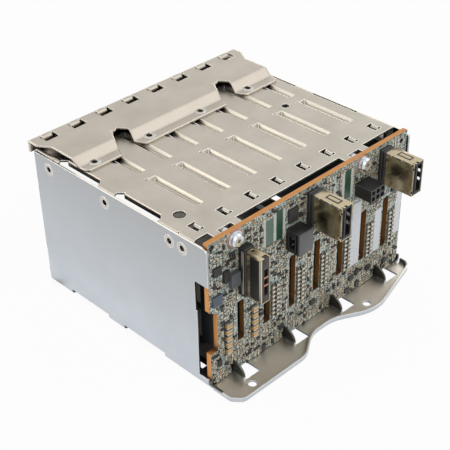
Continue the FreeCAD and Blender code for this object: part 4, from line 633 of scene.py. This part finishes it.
# The tub's hooks, which grip the board's lower edge
HOOK_SHIFT = 2.5
HOOKS = [PITCH * (3 - 2 * step) + HOOK_SHIFT for step in range(4)]
HOOK_ROOM = (1.4, 0, 6.4)
# Nodes that stand on the board's face
ON_BOARD = (
    "port_base_1", "port_base_2", "slim_port_base", "power_header_1", "power_header_2",
    "ic_top", "ic_near", "ic_corner", "ic_block", "inductor",
)
WASHERS = ("screw_washer_1", "screw_washer_2")
# Margins kept clear round those nodes, round the washers, beside the bands and along the board's edges
NODE_ROOM = 0.8
WASHER_ROOM = 1.2
BAND_ROOM = 0.4
EDGE_ROOM = 0.5
FOOT_ROOM = 0.4


def around(node, margin):
    """A node's rectangle on the board's face, widened by a margin."""
    right, left, _, _, low, high = sides(node)
    return right - margin, left + margin, low - margin, high + margin


def kept_clear():
    """Rectangles of the board's face where no loose small part goes."""
    zones = []
    for number, x in enumerate(SLOTS):
        high = SLOT_HIGH - FIRST_SLOT_SHORT if number == 0 else SLOT_HIGH
        zones.append((x - SLOT_ROOM, x + SLOT_ROOM, SLOT_LOW - SLOT_END_ROOM, high + SLOT_END_ROOM))
    zones += [around(node, NODE_ROOM) for node in ON_BOARD]
    zones += [around(node, WASHER_ROOM) for node in WASHERS]
    zones += [SIDE_NOTCH] + CORNERS + LABELS
    zones += [(right - BAND_ROOM, left + BAND_ROOM, low, high) for right, left, low, high in BANDS]
    for columns, (half, low, high) in ((LADDERS, LADDER_ROOM), (STACKS, STACK_ROOM), (HOOKS, HOOK_ROOM)):
        zones += [(x - half, x + half, low, high) for x in columns]
    return zones


def is_clear(x, z, reach, zones):
    """True where a part of this reach lies on the bare board."""
    if abs(x) > BOARD_HALF - reach - EDGE_ROOM:
        return False
    if z < BOARD_BOTTOM + reach + FOOT_ROOM or z > BOARD_TOP - reach - EDGE_ROOM:
        return False
    for right, left, low, high in zones:
        if right - reach < x < left + reach and low - reach < z < high + reach:
            return False
    return True


# Small parts on the board


def panel(name, right, left, low, high, rise, rim):
    """A thin patch on the board's face, with its rim set off."""
    patch = block(name, right, left, BOARD, BOARD + rise, low, high)
    shape(patch, "FACE", facing(1, 1), bpy.ops.mesh.inset, thickness=rim * MM, depth=0)
    return patch


def make_beds(name, columns, bed):
    """A dark bed under each column of capacitors, which shows between them."""
    half, low, high = bed
    patches = [panel(name, x - half, x + half, low, high, BED_RISE, BED_RIM) for x in columns]
    whole = join(name, patches)
    dress(whole, "dark_bed")
    finished(whole)


def chip_model(name, length, width, rise, body, end_share=0.24):
    """A chip capacitor or resistor lying along X, with a slightly slimmer middle and two tinned ends."""
    half = length / 2
    inner = half - length * end_share
    slimmer = width * 0.46
    middle = block(name, -inner, inner, 0, rise * 0.94, -slimmer, slimmer)
    dress(middle, body)
    ends = []
    for side in (-1, 1):
        near, far = sorted((side * inner, side * half))
        end = block(name + "_end", near, far, 0, rise, -width / 2, width / 2)
        dress(end, "tin")
        ends.append(end)
    return join(name, [middle] + ends)


def transistor_model():
    """A three legged package, 2.0 by 1.3 mm."""
    body = block("transistor_body", -1.0, 1.0, 0.15, 0.95, -0.45, 0.45)
    shape(body, "FACE", facing(1, 1), bpy.ops.mesh.inset, thickness=0.08 * MM, depth=0)
    dress(body, "epoxy")
    legs = []
    for x, low, high in ((-0.65, -1.0, -0.4), (0.65, -1.0, -0.4), (0.0, 0.4, 1.0)):
        leg = block("transistor_leg", x - 0.2, x + 0.2, 0, 0.3, low, high)
        dress(leg, "tin")
        legs.append(leg)
    return join("transistor", [body] + legs)


def leaded_chip_model():
    """A chip with five tinned legs on each of its two upright sides."""
    width = 2.4
    height = 3.4
    rise = 1.1
    legs = 5
    reach = 0.9
    body = block("leaded_chip", -width / 2, width / 2, 0.1, rise, -height / 2, height / 2)
    shape(body, "FACE", facing(1, 1), bpy.ops.mesh.inset, thickness=0.2 * MM, depth=0)
    dress(body, "epoxy")
    pins = []
    for number in range(legs):
        z = (number + 0.5) / legs * height - height / 2
        for side in (-1, 1):
            near, far = sorted((side * width / 2, side * (width / 2 + reach)))
            pin = block("chip_leg", near, far, 0, 0.35, z - 0.16, z + 0.16)
            dress(pin, "tin")
            pins.append(pin)
    return join("leaded_chip", [body] + pins)


# Upper limit of the random draw for each kind of loose part, and the draw below which a place stays bare
KINDS = ((0.34, "resistor"), (0.60, "ceramic"), (0.84, "pale"), (0.92, "ink"), (1.0, "transistor"))
BARE = 0.12
# Grid of the loose parts, its lowest row, how far each strays from it, and the room it needs to each side
GRID_X = 1.95
GRID_Z = 1.45
LOWEST_ROW = 0.9
STRAY_X = 0.25
STRAY_Z = 0.15
PART_REACH = 0.5
# Leaded chips: how many are tried, the heights they lie at, the room they need and the room they take
CHIP_TRIES = 46
CHIP_LEVELS = ((3, 18), (48, 60), (60, 80))
CHIP_REACH = 2.2
CHIP_HALF = 2.1
SEED = 11


def make_small_parts():
    """Loose chips over the whole rear face, on a jittered grid as a crowded layout has them."""
    rng = random.Random(SEED)
    zones = kept_clear()
    chosen = {key: [] for key in ("ceramic", "pale", "resistor", "transistor", "chip", "ink")}
    taken = []
    for _ in range(CHIP_TRIES):
        x = rng.uniform(-BOARD_HALF, BOARD_HALF)
        z = rng.choice([rng.uniform(low, high) for low, high in CHIP_LEVELS])
        if is_clear(x, z, CHIP_REACH, zones + taken):
            chosen["chip"].append((x, BOARD, z, rng.choice((0, 90))))
            taken.append((x - CHIP_HALF, x + CHIP_HALF, z - CHIP_HALF, z + CHIP_HALF))
    zones += taken
    z = BOARD_BOTTOM + LOWEST_ROW
    while z < BOARD_TOP:
        x = -BOARD_HALF
        while x < BOARD_HALF:
            px = x + rng.uniform(-STRAY_X, STRAY_X)
            pz = z + rng.uniform(-STRAY_Z, STRAY_Z)
            draw = rng.random()
            turn = rng.choice((0, 0, 90))
            if is_clear(px, pz, PART_REACH, zones) and draw > BARE:
                kind = next(kind for limit, kind in KINDS if draw < limit)
                chosen[kind].append((px, BOARD, pz, turn))
            x += GRID_X
        z += GRID_Z
    tan = "capacitor_tan"
    black = "chip_black"
    models = {
        "ceramic": ("chip_capacitors_tan", tan, chip_model("ceramic_chip", 1.5, 0.8, 0.8, "ceramic")),
        "pale": ("chip_capacitors_pale", tan, chip_model("pale_chip", 1.3, 0.75, 0.7, "pale_ceramic")),
        "resistor": ("chip_resistors", black, chip_model("resistor_chip", 1.4, 0.8, 0.5, "resistor")),
        "transistor": ("small_transistors", black, transistor_model()),
        "chip": ("small_leaded_chips", black, leaded_chip_model()),
        "ink": ("chip_diodes", tan, chip_model("diode_chip", 1.5, 0.8, 0.6, "ink")),
    }
    for key, (name, slot, model) in models.items():
        finished(copies(name, model, chosen[key]))


def make_ladders():
    """Pairs of chip capacitors in columns beside the slots, standing for the plain blocks."""
    make_beds("ladder_beds", LADDERS, LADDER_BED)
    pairs = []
    between = []
    for x in LADDERS:
        for step in range(8):
            for side in LADDER_PAIR:
                pairs.append((x + side, BOARD, LADDER_FIRST + LADDER_STEP * step, 0))
        for step in range(9):
            between.append((x, BOARD, LADDER_BETWEEN + LADDER_STEP * step, 0))
    model = chip_model("ladder_chip", 1.7, 1.15, 1.1, "pale_ceramic", end_share=0.26)
    finished(copies("ladder_capacitors", model, pairs), ("small_capacitors",))
    model = chip_model("ladder_resistor", 2.2, 0.6, 0.5, "resistor", end_share=0.12)
    finished(copies("ladder_resistors", model, between))


def make_stacks():
    """Two columns of large ceramic capacitors with tinned ends."""
    places = [(x, BOARD, STACK_FIRST + STACK_STEP * step, 90) for x in STACKS for step in range(5)]
    model = chip_model("large_chip", 2.8, 3.3, 2.0, "stack", end_share=0.13)
    stack = copies("large_ceramic_capacitors", model, places)
    soften(stack, 0.12)
    finished(stack, ("large_capacitors",))
    make_beds("stack_beds", STACKS, STACK_BED)


def make_bands():
    """Pale strips of bare laminate and bands of mask near the top of the board."""
    names = {"pale_mask": "pale_board_strips", "mask": "dark_green_bands", "mid_mask": "green_board_bands"}
    widest_strip = 3
    widest_dark = 4.7
    kinds = {key: [] for key in names}
    for right, left, low, high in BANDS:
        width = left - right
        key = "pale_mask" if width < widest_strip else "mask" if width < widest_dark else "mid_mask"
        band = panel("band", right, left, low, high, rise=0.06, rim=0.12)
        dress(band, key)
        kinds[key].append(band)
    for key, bands in kinds.items():
        finished(join(names[key], bands))


def make_pad_rings():
    """Bare copper rings round the two board screws."""
    radius = 4.9
    width = 2.8
    foil = 0.04
    lift = 0.03
    rings = []
    for node in WASHERS:
        right, left, _, _, low, high = sides(node)
        bpy.ops.object.select_all(action="DESELECT")
        bpy.ops.mesh.primitive_circle_add(
            vertices=48, radius=radius * MM, fill_type="NGON", rotation=(-math.pi / 2, 0, 0),
            location=((right + left) / 2 * MM, (BOARD + lift) * MM, (low + high) / 2 * MM),
        )
        ring = bpy.context.object
        bpy.ops.object.transform_apply(location=True, rotation=True, scale=True)
        shape(ring, "FACE", lambda face: True, bpy.ops.mesh.inset, thickness=width * MM, depth=0)
        shape(ring, "FACE", lambda face: len(face.verts) > 4, bpy.ops.mesh.delete, type="FACE")
        modify(ring, "SOLIDIFY", thickness=foil * MM)
        dress(ring, "copper")
        rings.append(ring)
    finished(join("copper_pad_rings", rings))


# Stop tabs in the cover's rear windows

# Root of a tab from its bay's middle: right, left, front and rear
STOP_WINDOW_ROOT = (-2.25, -0.45, 43.1, 47.5)


def make_stop_bends():
    """The rounded roots of the eight stop tabs that turn down from the windows' right edges."""
    *_, top = sides("top_cover")
    drop = 3.8
    radius = 1.5
    gauge = 0.6
    bend = block("stop_bends", *STOP_WINDOW_ROOT, top - drop, top - 0.02)
    # The upper edge on the window's side gets the bend's radius
    shape(
        bend, "EDGE", lambda edge: all(v.co.x > -1 * MM and v.co.z > (top - 1) * MM for v in edge.verts),
        bpy.ops.mesh.bevel, offset=radius * MM, segments=6,
    )
    # Only the top and the side that faces the window stay, as the sheet's outer face
    shape(
        bend, "FACE", lambda face: abs(face.normal.y) > 0.9 or face.normal.x < -0.9 or face.normal.z < -0.9,
        bpy.ops.mesh.delete, type="FACE",
    )
    modify(bend, "SOLIDIFY", thickness=gauge * MM)
    bpy.ops.object.shade_smooth_by_angle(angle=SMOOTH_ANGLE)
    dress(bend, "cover")
    places = [(FIRST_BAY - PITCH * bay, 0, 0, 0) for bay in range(BAYS)]
    finished(copies("stop_bends", bend, places))


# Cable ports

# Thickness of the folded shells, and what a cutting block has over so that it passes right through
GAUGE = 0.25
OVER = 1
# Middles of the two windows in a port's right wall, as shares of its height from the top
WINDOW_SHARES = (0.34, 0.60)
# Notches in a port's top edge, as spans from its left side
TOP_NOTCHES = ((4.0, 2.6), (1.5, 0.8))
# How far a shell's left wall stands inside its strip, for a port and for the slim port
PORT_STRIP = 0.15
SLIM_STRIP = 0.1
# Contacts on a port's tongue
CONTACTS = 9
CONTACT_FIRST = 3.6
CONTACT_STEP = 1.3
CONTACT_HEIGHT = 0.6


def port_windows(number):
    """Two windows through a port's right wall and the lining behind it, near the open end."""
    right, _, _, rear, low, high = sides("port_shell_%d" % number)
    through = right + 1.3
    start = rear - 2.6
    end = rear - 0.7
    windows = []
    for share in WINDOW_SHARES:
        z = high - share * (high - low)
        windows.append(block("window", right - OVER, through, start, end, z - 1.2, z + 0.8))
    return windows


def make_port_shell(number):
    """Folded metal shell of a port, with notches, seam tabs and a plate along its top."""
    node = "port_shell_%d" % number
    right, left, front, rear, low, high = sides(node)
    shell = block("port_cover_%d" % number, right, left - PORT_STRIP, front, rear, low, high)
    inner = left - GAUGE - PORT_STRIP
    bore = block("bore", right + GAUGE, inner, front - OVER, rear + OVER, low + GAUGE, high - GAUGE)
    notches = []
    for far, near in TOP_NOTCHES:
        notch = block("notch", left - far, left - near, rear - 1.3, rear + OVER, high - 1, high + OVER)
        notches.append(notch)
    for z in (low + 1.6, high - 3.4):
        notches.append(block("notch", left - 1, left + OVER, rear - 0.9, rear + OVER, z, z + 1.2))
    cut(shell, [bore] + notches + port_windows(number))
    parts = [trimmed(shell, SMALL_ROUND, "shell")]
    # Dovetailed tabs of the seam, narrower towards their lower ends
    taper = 0.76
    for start, end in ((front + 0.8, front + 3.4), (front + 5.0, front + 9.8), (rear - 5.4, rear - 1.6)):
        tab = block("tab", left - 0.4, left, start, end, high - 1.2, high - 0.05)
        shape(tab, "FACE", facing(2, -1), bpy.ops.transform.resize, value=(1, taper, 1))
        parts.append(trimmed(tab, SMALL_ROUND, "strip"))
    finished(join("port_cover_%d" % number, parts), (node,))
    plate = block(
        "port_plate_%d" % number, right + 1.9, left - 2.2, front + 4.8, rear - 4.2, high, high + 0.12,
    )
    # A black frame round a field of bare shell metal
    frame_width = 0.75
    shape(plate, "FACE", facing(2, 1), bpy.ops.mesh.inset, thickness=frame_width * MM, depth=-0.03 * MM)
    dress(plate, "black_plate")
    plate.data.materials.append(finish["shell"])
    top = max(plate.data.polygons, key=lambda face: (round(face.normal.z, 2), face.area))
    top.material_index = 1
    finished(plate)


def make_port_body(number):
    """Black body of a port: a ribbed foot by the board and a core with its mouth and contact tongue."""
    node = "port_base_%d" % number
    right, left, front, _, low, high = sides(node)
    _, _, start, end, floor, _ = sides("port_shell_%d" % number)
    end -= 0.12
    back = end - 9
    foot = block("port_body_%d" % number, right + 0.3, left - 0.5, front, start, low, high - 0.2)
    ribs = []
    for y in (front + 0.5, front + 2.4):
        ribs.append(block("rib", right, left, y, y + 1.1, low, high))
    core = block("core", right + 0.26, left - 0.6, start, end, floor + 0.26, high - 0.26)
    mouth = block("mouth", right + 1.0, left - 3.2, back, end + OVER, floor + 1.6, high - 1.6)
    slit = block("slit", left - 2.3, left - 1.3, back, end + OVER, floor + 1.4, high - 1.6)
    cut(core, [mouth, slit] + port_windows(number))
    tongue = block("tongue", left - 4.4, left - 3.6, end - 8.5, end - 1.2, floor + 2.6, high - 2.6)
    parts = [trimmed(part, 0.15, "nylon") for part in (foot, core, tongue, *ribs)]
    for step in range(CONTACTS):
        z = floor + CONTACT_FIRST + CONTACT_STEP * step
        contact = block("contact", left - 4.5, left - 4.3, end - 7, end - 1.8, z, z + CONTACT_HEIGHT)
        parts.append(trimmed(contact, 0.04, "gold", segments=1))
    finished(join("port_body_%d" % number, parts), (node, "port_contacts_%d" % number))


# Slim port


def make_slim_port():
    """Narrow port: a black end block, a folded shell with a catch, and bright bands down its side."""
    node = "slim_port_shell"
    base = "slim_port_base"
    right, left, front, rear, low, high = sides(node)
    shell = block("slim_cover", right, left - SLIM_STRIP, front, rear, low, high)
    inner = left - GAUGE - SLIM_STRIP
    bore = block("bore", right + GAUGE, inner, front - OVER, rear + OVER, low + GAUGE, high - GAUGE)
    notch = block("notch", right + 0.7, left - 1.9, rear - 2.2, rear + OVER, high - 1, high + OVER)
    slot = block("slot", right + 1.7, left - 1.6, front + 0.9, front + 2.6, high - 1, high + OVER)
    windows = []
    for z in (low + 6.0, low + 15.0):
        windows.append(block("window", right - OVER, right + 1, rear - 4.6, rear - 1.6, z, z + 3.0))
    cut(shell, [bore, notch, slot] + windows)
    finished(trimmed(shell, SMALL_ROUND, "shell"), (node,))
    base_right, base_left, board, tip, foot_low, foot_high = sides(base)
    bands = []
    for x, start, end, bottom, top in (
        (base_left, front - 2.5, front - 1.1, low + 0.2, high - 0.8),
        (left, rear - 0.9, rear - 0.02, low + 0.6, high - 0.6),
    ):
        band = block("band", x - 0.3, x + 0.12, start, end, bottom, top)
        bands.append(trimmed(band, SMALL_ROUND, "strip"))
    finished(join("slim_cover_bands", bands))
    foot = block("slim_body", base_right, base_left, board, front, foot_low, foot_high)
    core = block("core", base_right + 0.6, base_left - 0.65, front, tip + 0.68, low + 0.3, high - 0.3)
    mouth = block("mouth", base_right + 1.4, base_left - 2.2, tip - 7, tip + OVER, low + 4.0, high - 6.4)
    cut(core, [mouth])
    tongue = block("tongue", base_right + 2.4, base_right + 3.0, tip - 6.5, tip - 0.8, low + 4.6, high - 7.0)
    parts = [trimmed(foot, 0.2, "nylon")]
    parts += [trimmed(part, 0.2, "brown_resin") for part in (core, tongue)]
    for z in (low + 9.2, low + 13.4):
        bar = block("latch_bar", base_right + 1.0, base_left - 2.0, tip - 0.2, tip + 0.75, z, z + 0.7)
        parts.append(trimmed(bar, 0.12, "copper"))
    finished(join("slim_body", parts), (base,))


# Second power header


def make_grey_header():
    """The four way header as seen from behind: a smooth grey end, and a black side with its recess."""
    node = "power_header_2"
    right, left, front, rear, low, high = sides(node)
    seam = rear - 0.7
    body = block("grey_header", right, left, front, seam, low, high)
    recess = block("recess", left - 4.0, left + OVER, front + 1.6, rear - 3.2, low + 2.0, high - 3.0)
    notch = block("notch", left - 1.2, left + OVER, rear - 2.6, rear - 1.6, low + 1.2, high - 1.2)
    cut(body, [recess, notch])
    parts = [trimmed(body, 0.2, "nylon")]
    lid = block("lid", right, left, seam, rear, low, high)
    parts.append(trimmed(lid, 0.3, "grey_nylon"))
    for z in (low + 3.2, low + 6.4):
        pin = block("pin", left - 3.9, left - 1.4, front + 2.6, front + 3.3, z, z + 0.7)
        parts.append(trimmed(pin, SMALL_ROUND, "tin"))
    finished(join("grey_header", parts), (node, "header_pins_2"))


make_small_parts()
make_ladders()
make_stacks()
make_bands()
make_pad_rings()
make_stop_bends()
for port in (1, 2):
    make_port_shell(port)
    make_port_body(port)
make_slim_port()
make_grey_header()


# Studio

# What the floor and the world show is white to the lens and to metal, and dimmer as a light
FLOOR_SHARE = 0.94
WORLD_LIGHT = 0.55
# Dark patches painted on the floor, for the deep shadow under the cage and ahead of its open front. The
# one ahead leans to the cage's left
SHADOW = "#2A2A2A"
UNDER_CAGE = ((-66, 66), (-60, 56), None)
AHEAD = ((-17, 119), (-160, -55), None)
LEAN = -0.81
# Each lamp: its direction from the cage, distance, width and height in metres, radiance and colour
LAMPS = {
    "overhead_box": ((-0.56, 0.42, 0.73), 1.1, 0.8, 0.8, 0.75, "#FFFFFF"),
    "side_box": ((0.78, -0.59, 0.22), 1.1, 0.6, 0.45, 2.2, "#FFFDF8"),
    "far_box": ((-0.8, -0.59, 0.07), 1.1, 0.6, 0.22, 2.2, "#FFFDF8"),
    "fill_box": ((0.45, 0.85, 0.45), 1.3, 0.8, 0.6, 1.1, "#FFFFFF"),
}
LAMP_CENTRE = Vector((0, 0, 0.04))
# The photograph's lens: place and direction, roll in degrees, focal length on a 36 mm sensor and shift
LENS_PLACE = (0.321195, 0.333736, 0.345255)
LENS_AIM = (-0.557114, -0.593669, -0.580673)
LENS_ROLL = -1.73
FOCAL_LENGTH = 85.985
SHIFT = (0.02445, 0.05151)


def floor_material():
    """Matt white paper sweep, seen mostly by its own white so that the shadow stays faint."""
    material, tree, shader = new_material("white_paper_sweep")
    shader.inputs["Roughness"].default_value = 0.9
    path = add_node(tree, "ShaderNodeLightPath")
    seen = add_node(tree, "ShaderNodeMath", {"operation": "MAXIMUM"}, {
        0: path.outputs["Is Camera Ray"], 1: path.outputs["Is Glossy Ray"],
    })
    place = add_node(tree, "ShaderNodeNewGeometry").outputs["Position"]
    axes = add_node(tree, "ShaderNodeSeparateXYZ", None, {0: place})
    lean = add_node(tree, "ShaderNodeMath", {"operation": "MULTIPLY_ADD"}, {
        0: axes.outputs["Y"], 1: LEAN, 2: axes.outputs["X"],
    })
    leaning = add_node(tree, "ShaderNodeCombineXYZ", None, {0: lean.outputs[0], 1: axes.outputs["Y"]})
    both = add_node(tree, "ShaderNodeMath", {"operation": "MAXIMUM"}, {
        0: within(tree, leaning.outputs[0], AHEAD, 4.0),
        1: within(tree, place, UNDER_CAGE, 3.0),
    })
    shaded = add_node(tree, "ShaderNodeMix", COLOURS, {
        0: both.outputs[0], 6: tone("#FFFFFF"), 7: tone(SHADOW),
    })
    connect(tree, shader, Base_Color=shaded.outputs[2])
    # Metal mirrors the patches almost in full, and the lens sees them only in the share that the white leaves
    mirrored = add_node(tree, "ShaderNodeMath", {"operation": "MULTIPLY"}, {
        0: both.outputs[0], 1: path.outputs["Is Glossy Ray"],
    })
    colour = add_node(tree, "ShaderNodeMix", COLOURS, {
        0: mirrored.outputs[0], 6: tone("#FFFFFF"), 7: tone(SHADOW),
    })
    share = add_node(tree, "ShaderNodeMath", {"operation": "MULTIPLY"}, {0: seen.outputs[0], 1: FLOOR_SHARE})
    white = add_node(tree, "ShaderNodeEmission", None, {"Color": colour.outputs[2], "Strength": 1.0})
    mix = add_node(tree, "ShaderNodeMixShader", None, {
        0: share.outputs[0], 1: shader.outputs[0], 2: white.outputs[0],
    })
    output = next(node for node in tree.nodes if node.type == "OUTPUT_MATERIAL")
    tree.links.new(mix.outputs[0], output.inputs["Surface"])
    return material


def make_floor():
    bpy.ops.object.select_all(action="DESELECT")
    bpy.ops.mesh.primitive_plane_add(size=6.0, location=(0, 0, cad_low.z - 0.0002))
    floor = bpy.context.object
    floor.name = "floor"
    floor.data.materials.append(floor_material())


def make_world():
    """White to the lens and to the metal, a little dimmer as a light."""
    world = bpy.data.worlds.new("studio")
    bpy.context.scene.world = world
    world.use_nodes = True
    tree = world.node_tree
    tree.nodes.clear()
    path = add_node(tree, "ShaderNodeLightPath")
    seen = add_node(tree, "ShaderNodeMath", {"operation": "MAXIMUM"}, {
        0: path.outputs["Is Camera Ray"], 1: path.outputs["Is Transmission Ray"],
    })
    shown = add_node(tree, "ShaderNodeMath", {"operation": "MAXIMUM"}, {
        0: seen.outputs[0], 1: path.outputs["Is Glossy Ray"],
    })
    strength = add_node(tree, "ShaderNodeMapRange", None, {
        "Value": shown.outputs[0], "To Min": WORLD_LIGHT, "To Max": 1.0,
    })
    light = add_node(tree, "ShaderNodeBackground", None, {
        "Color": tone("#FFFFFF"), "Strength": strength.outputs[0],
    })
    add_node(tree, "ShaderNodeOutputWorld", None, {"Surface": light.outputs[0]})


def softbox(name, toward, distance, width, height, radiance, colour):
    """A rectangular lamp that faces the cage from one direction."""
    lamp = bpy.data.lights.new(name, "AREA")
    lamp.shape = "RECTANGLE"
    lamp.size = width
    lamp.size_y = height
    lamp.energy = radiance * math.pi * width * height
    lamp.color = tone(colour)[:3]
    holder = bpy.data.objects.new(name, lamp)
    bpy.context.scene.collection.objects.link(holder)
    aim = Vector(toward).normalized()
    holder.location = aim * distance + LAMP_CENTRE
    holder.rotation_euler = (-aim).to_track_quat("-Z", "Y").to_euler()


def make_camera():
    camera = bpy.data.cameras.new("camera")
    holder = bpy.data.objects.new("camera", camera)
    bpy.context.scene.collection.objects.link(holder)
    aim = Vector(LENS_AIM).to_track_quat("-Z", "Y").to_matrix().to_4x4()
    roll = Matrix.Rotation(math.radians(LENS_ROLL), 4, "Z")
    holder.matrix_world = Matrix.Translation(LENS_PLACE) @ (aim @ roll)
    camera.sensor_width = 36.0
    camera.lens = FOCAL_LENGTH
    camera.shift_x, camera.shift_y = SHIFT
    camera.clip_start = 0.01
    bpy.context.scene.camera = holder


make_floor()
make_world()
for name, settings in LAMPS.items():
    softbox(name, *settings)
make_camera()
bpy.context.scene.view_settings.view_transform = "Standard"
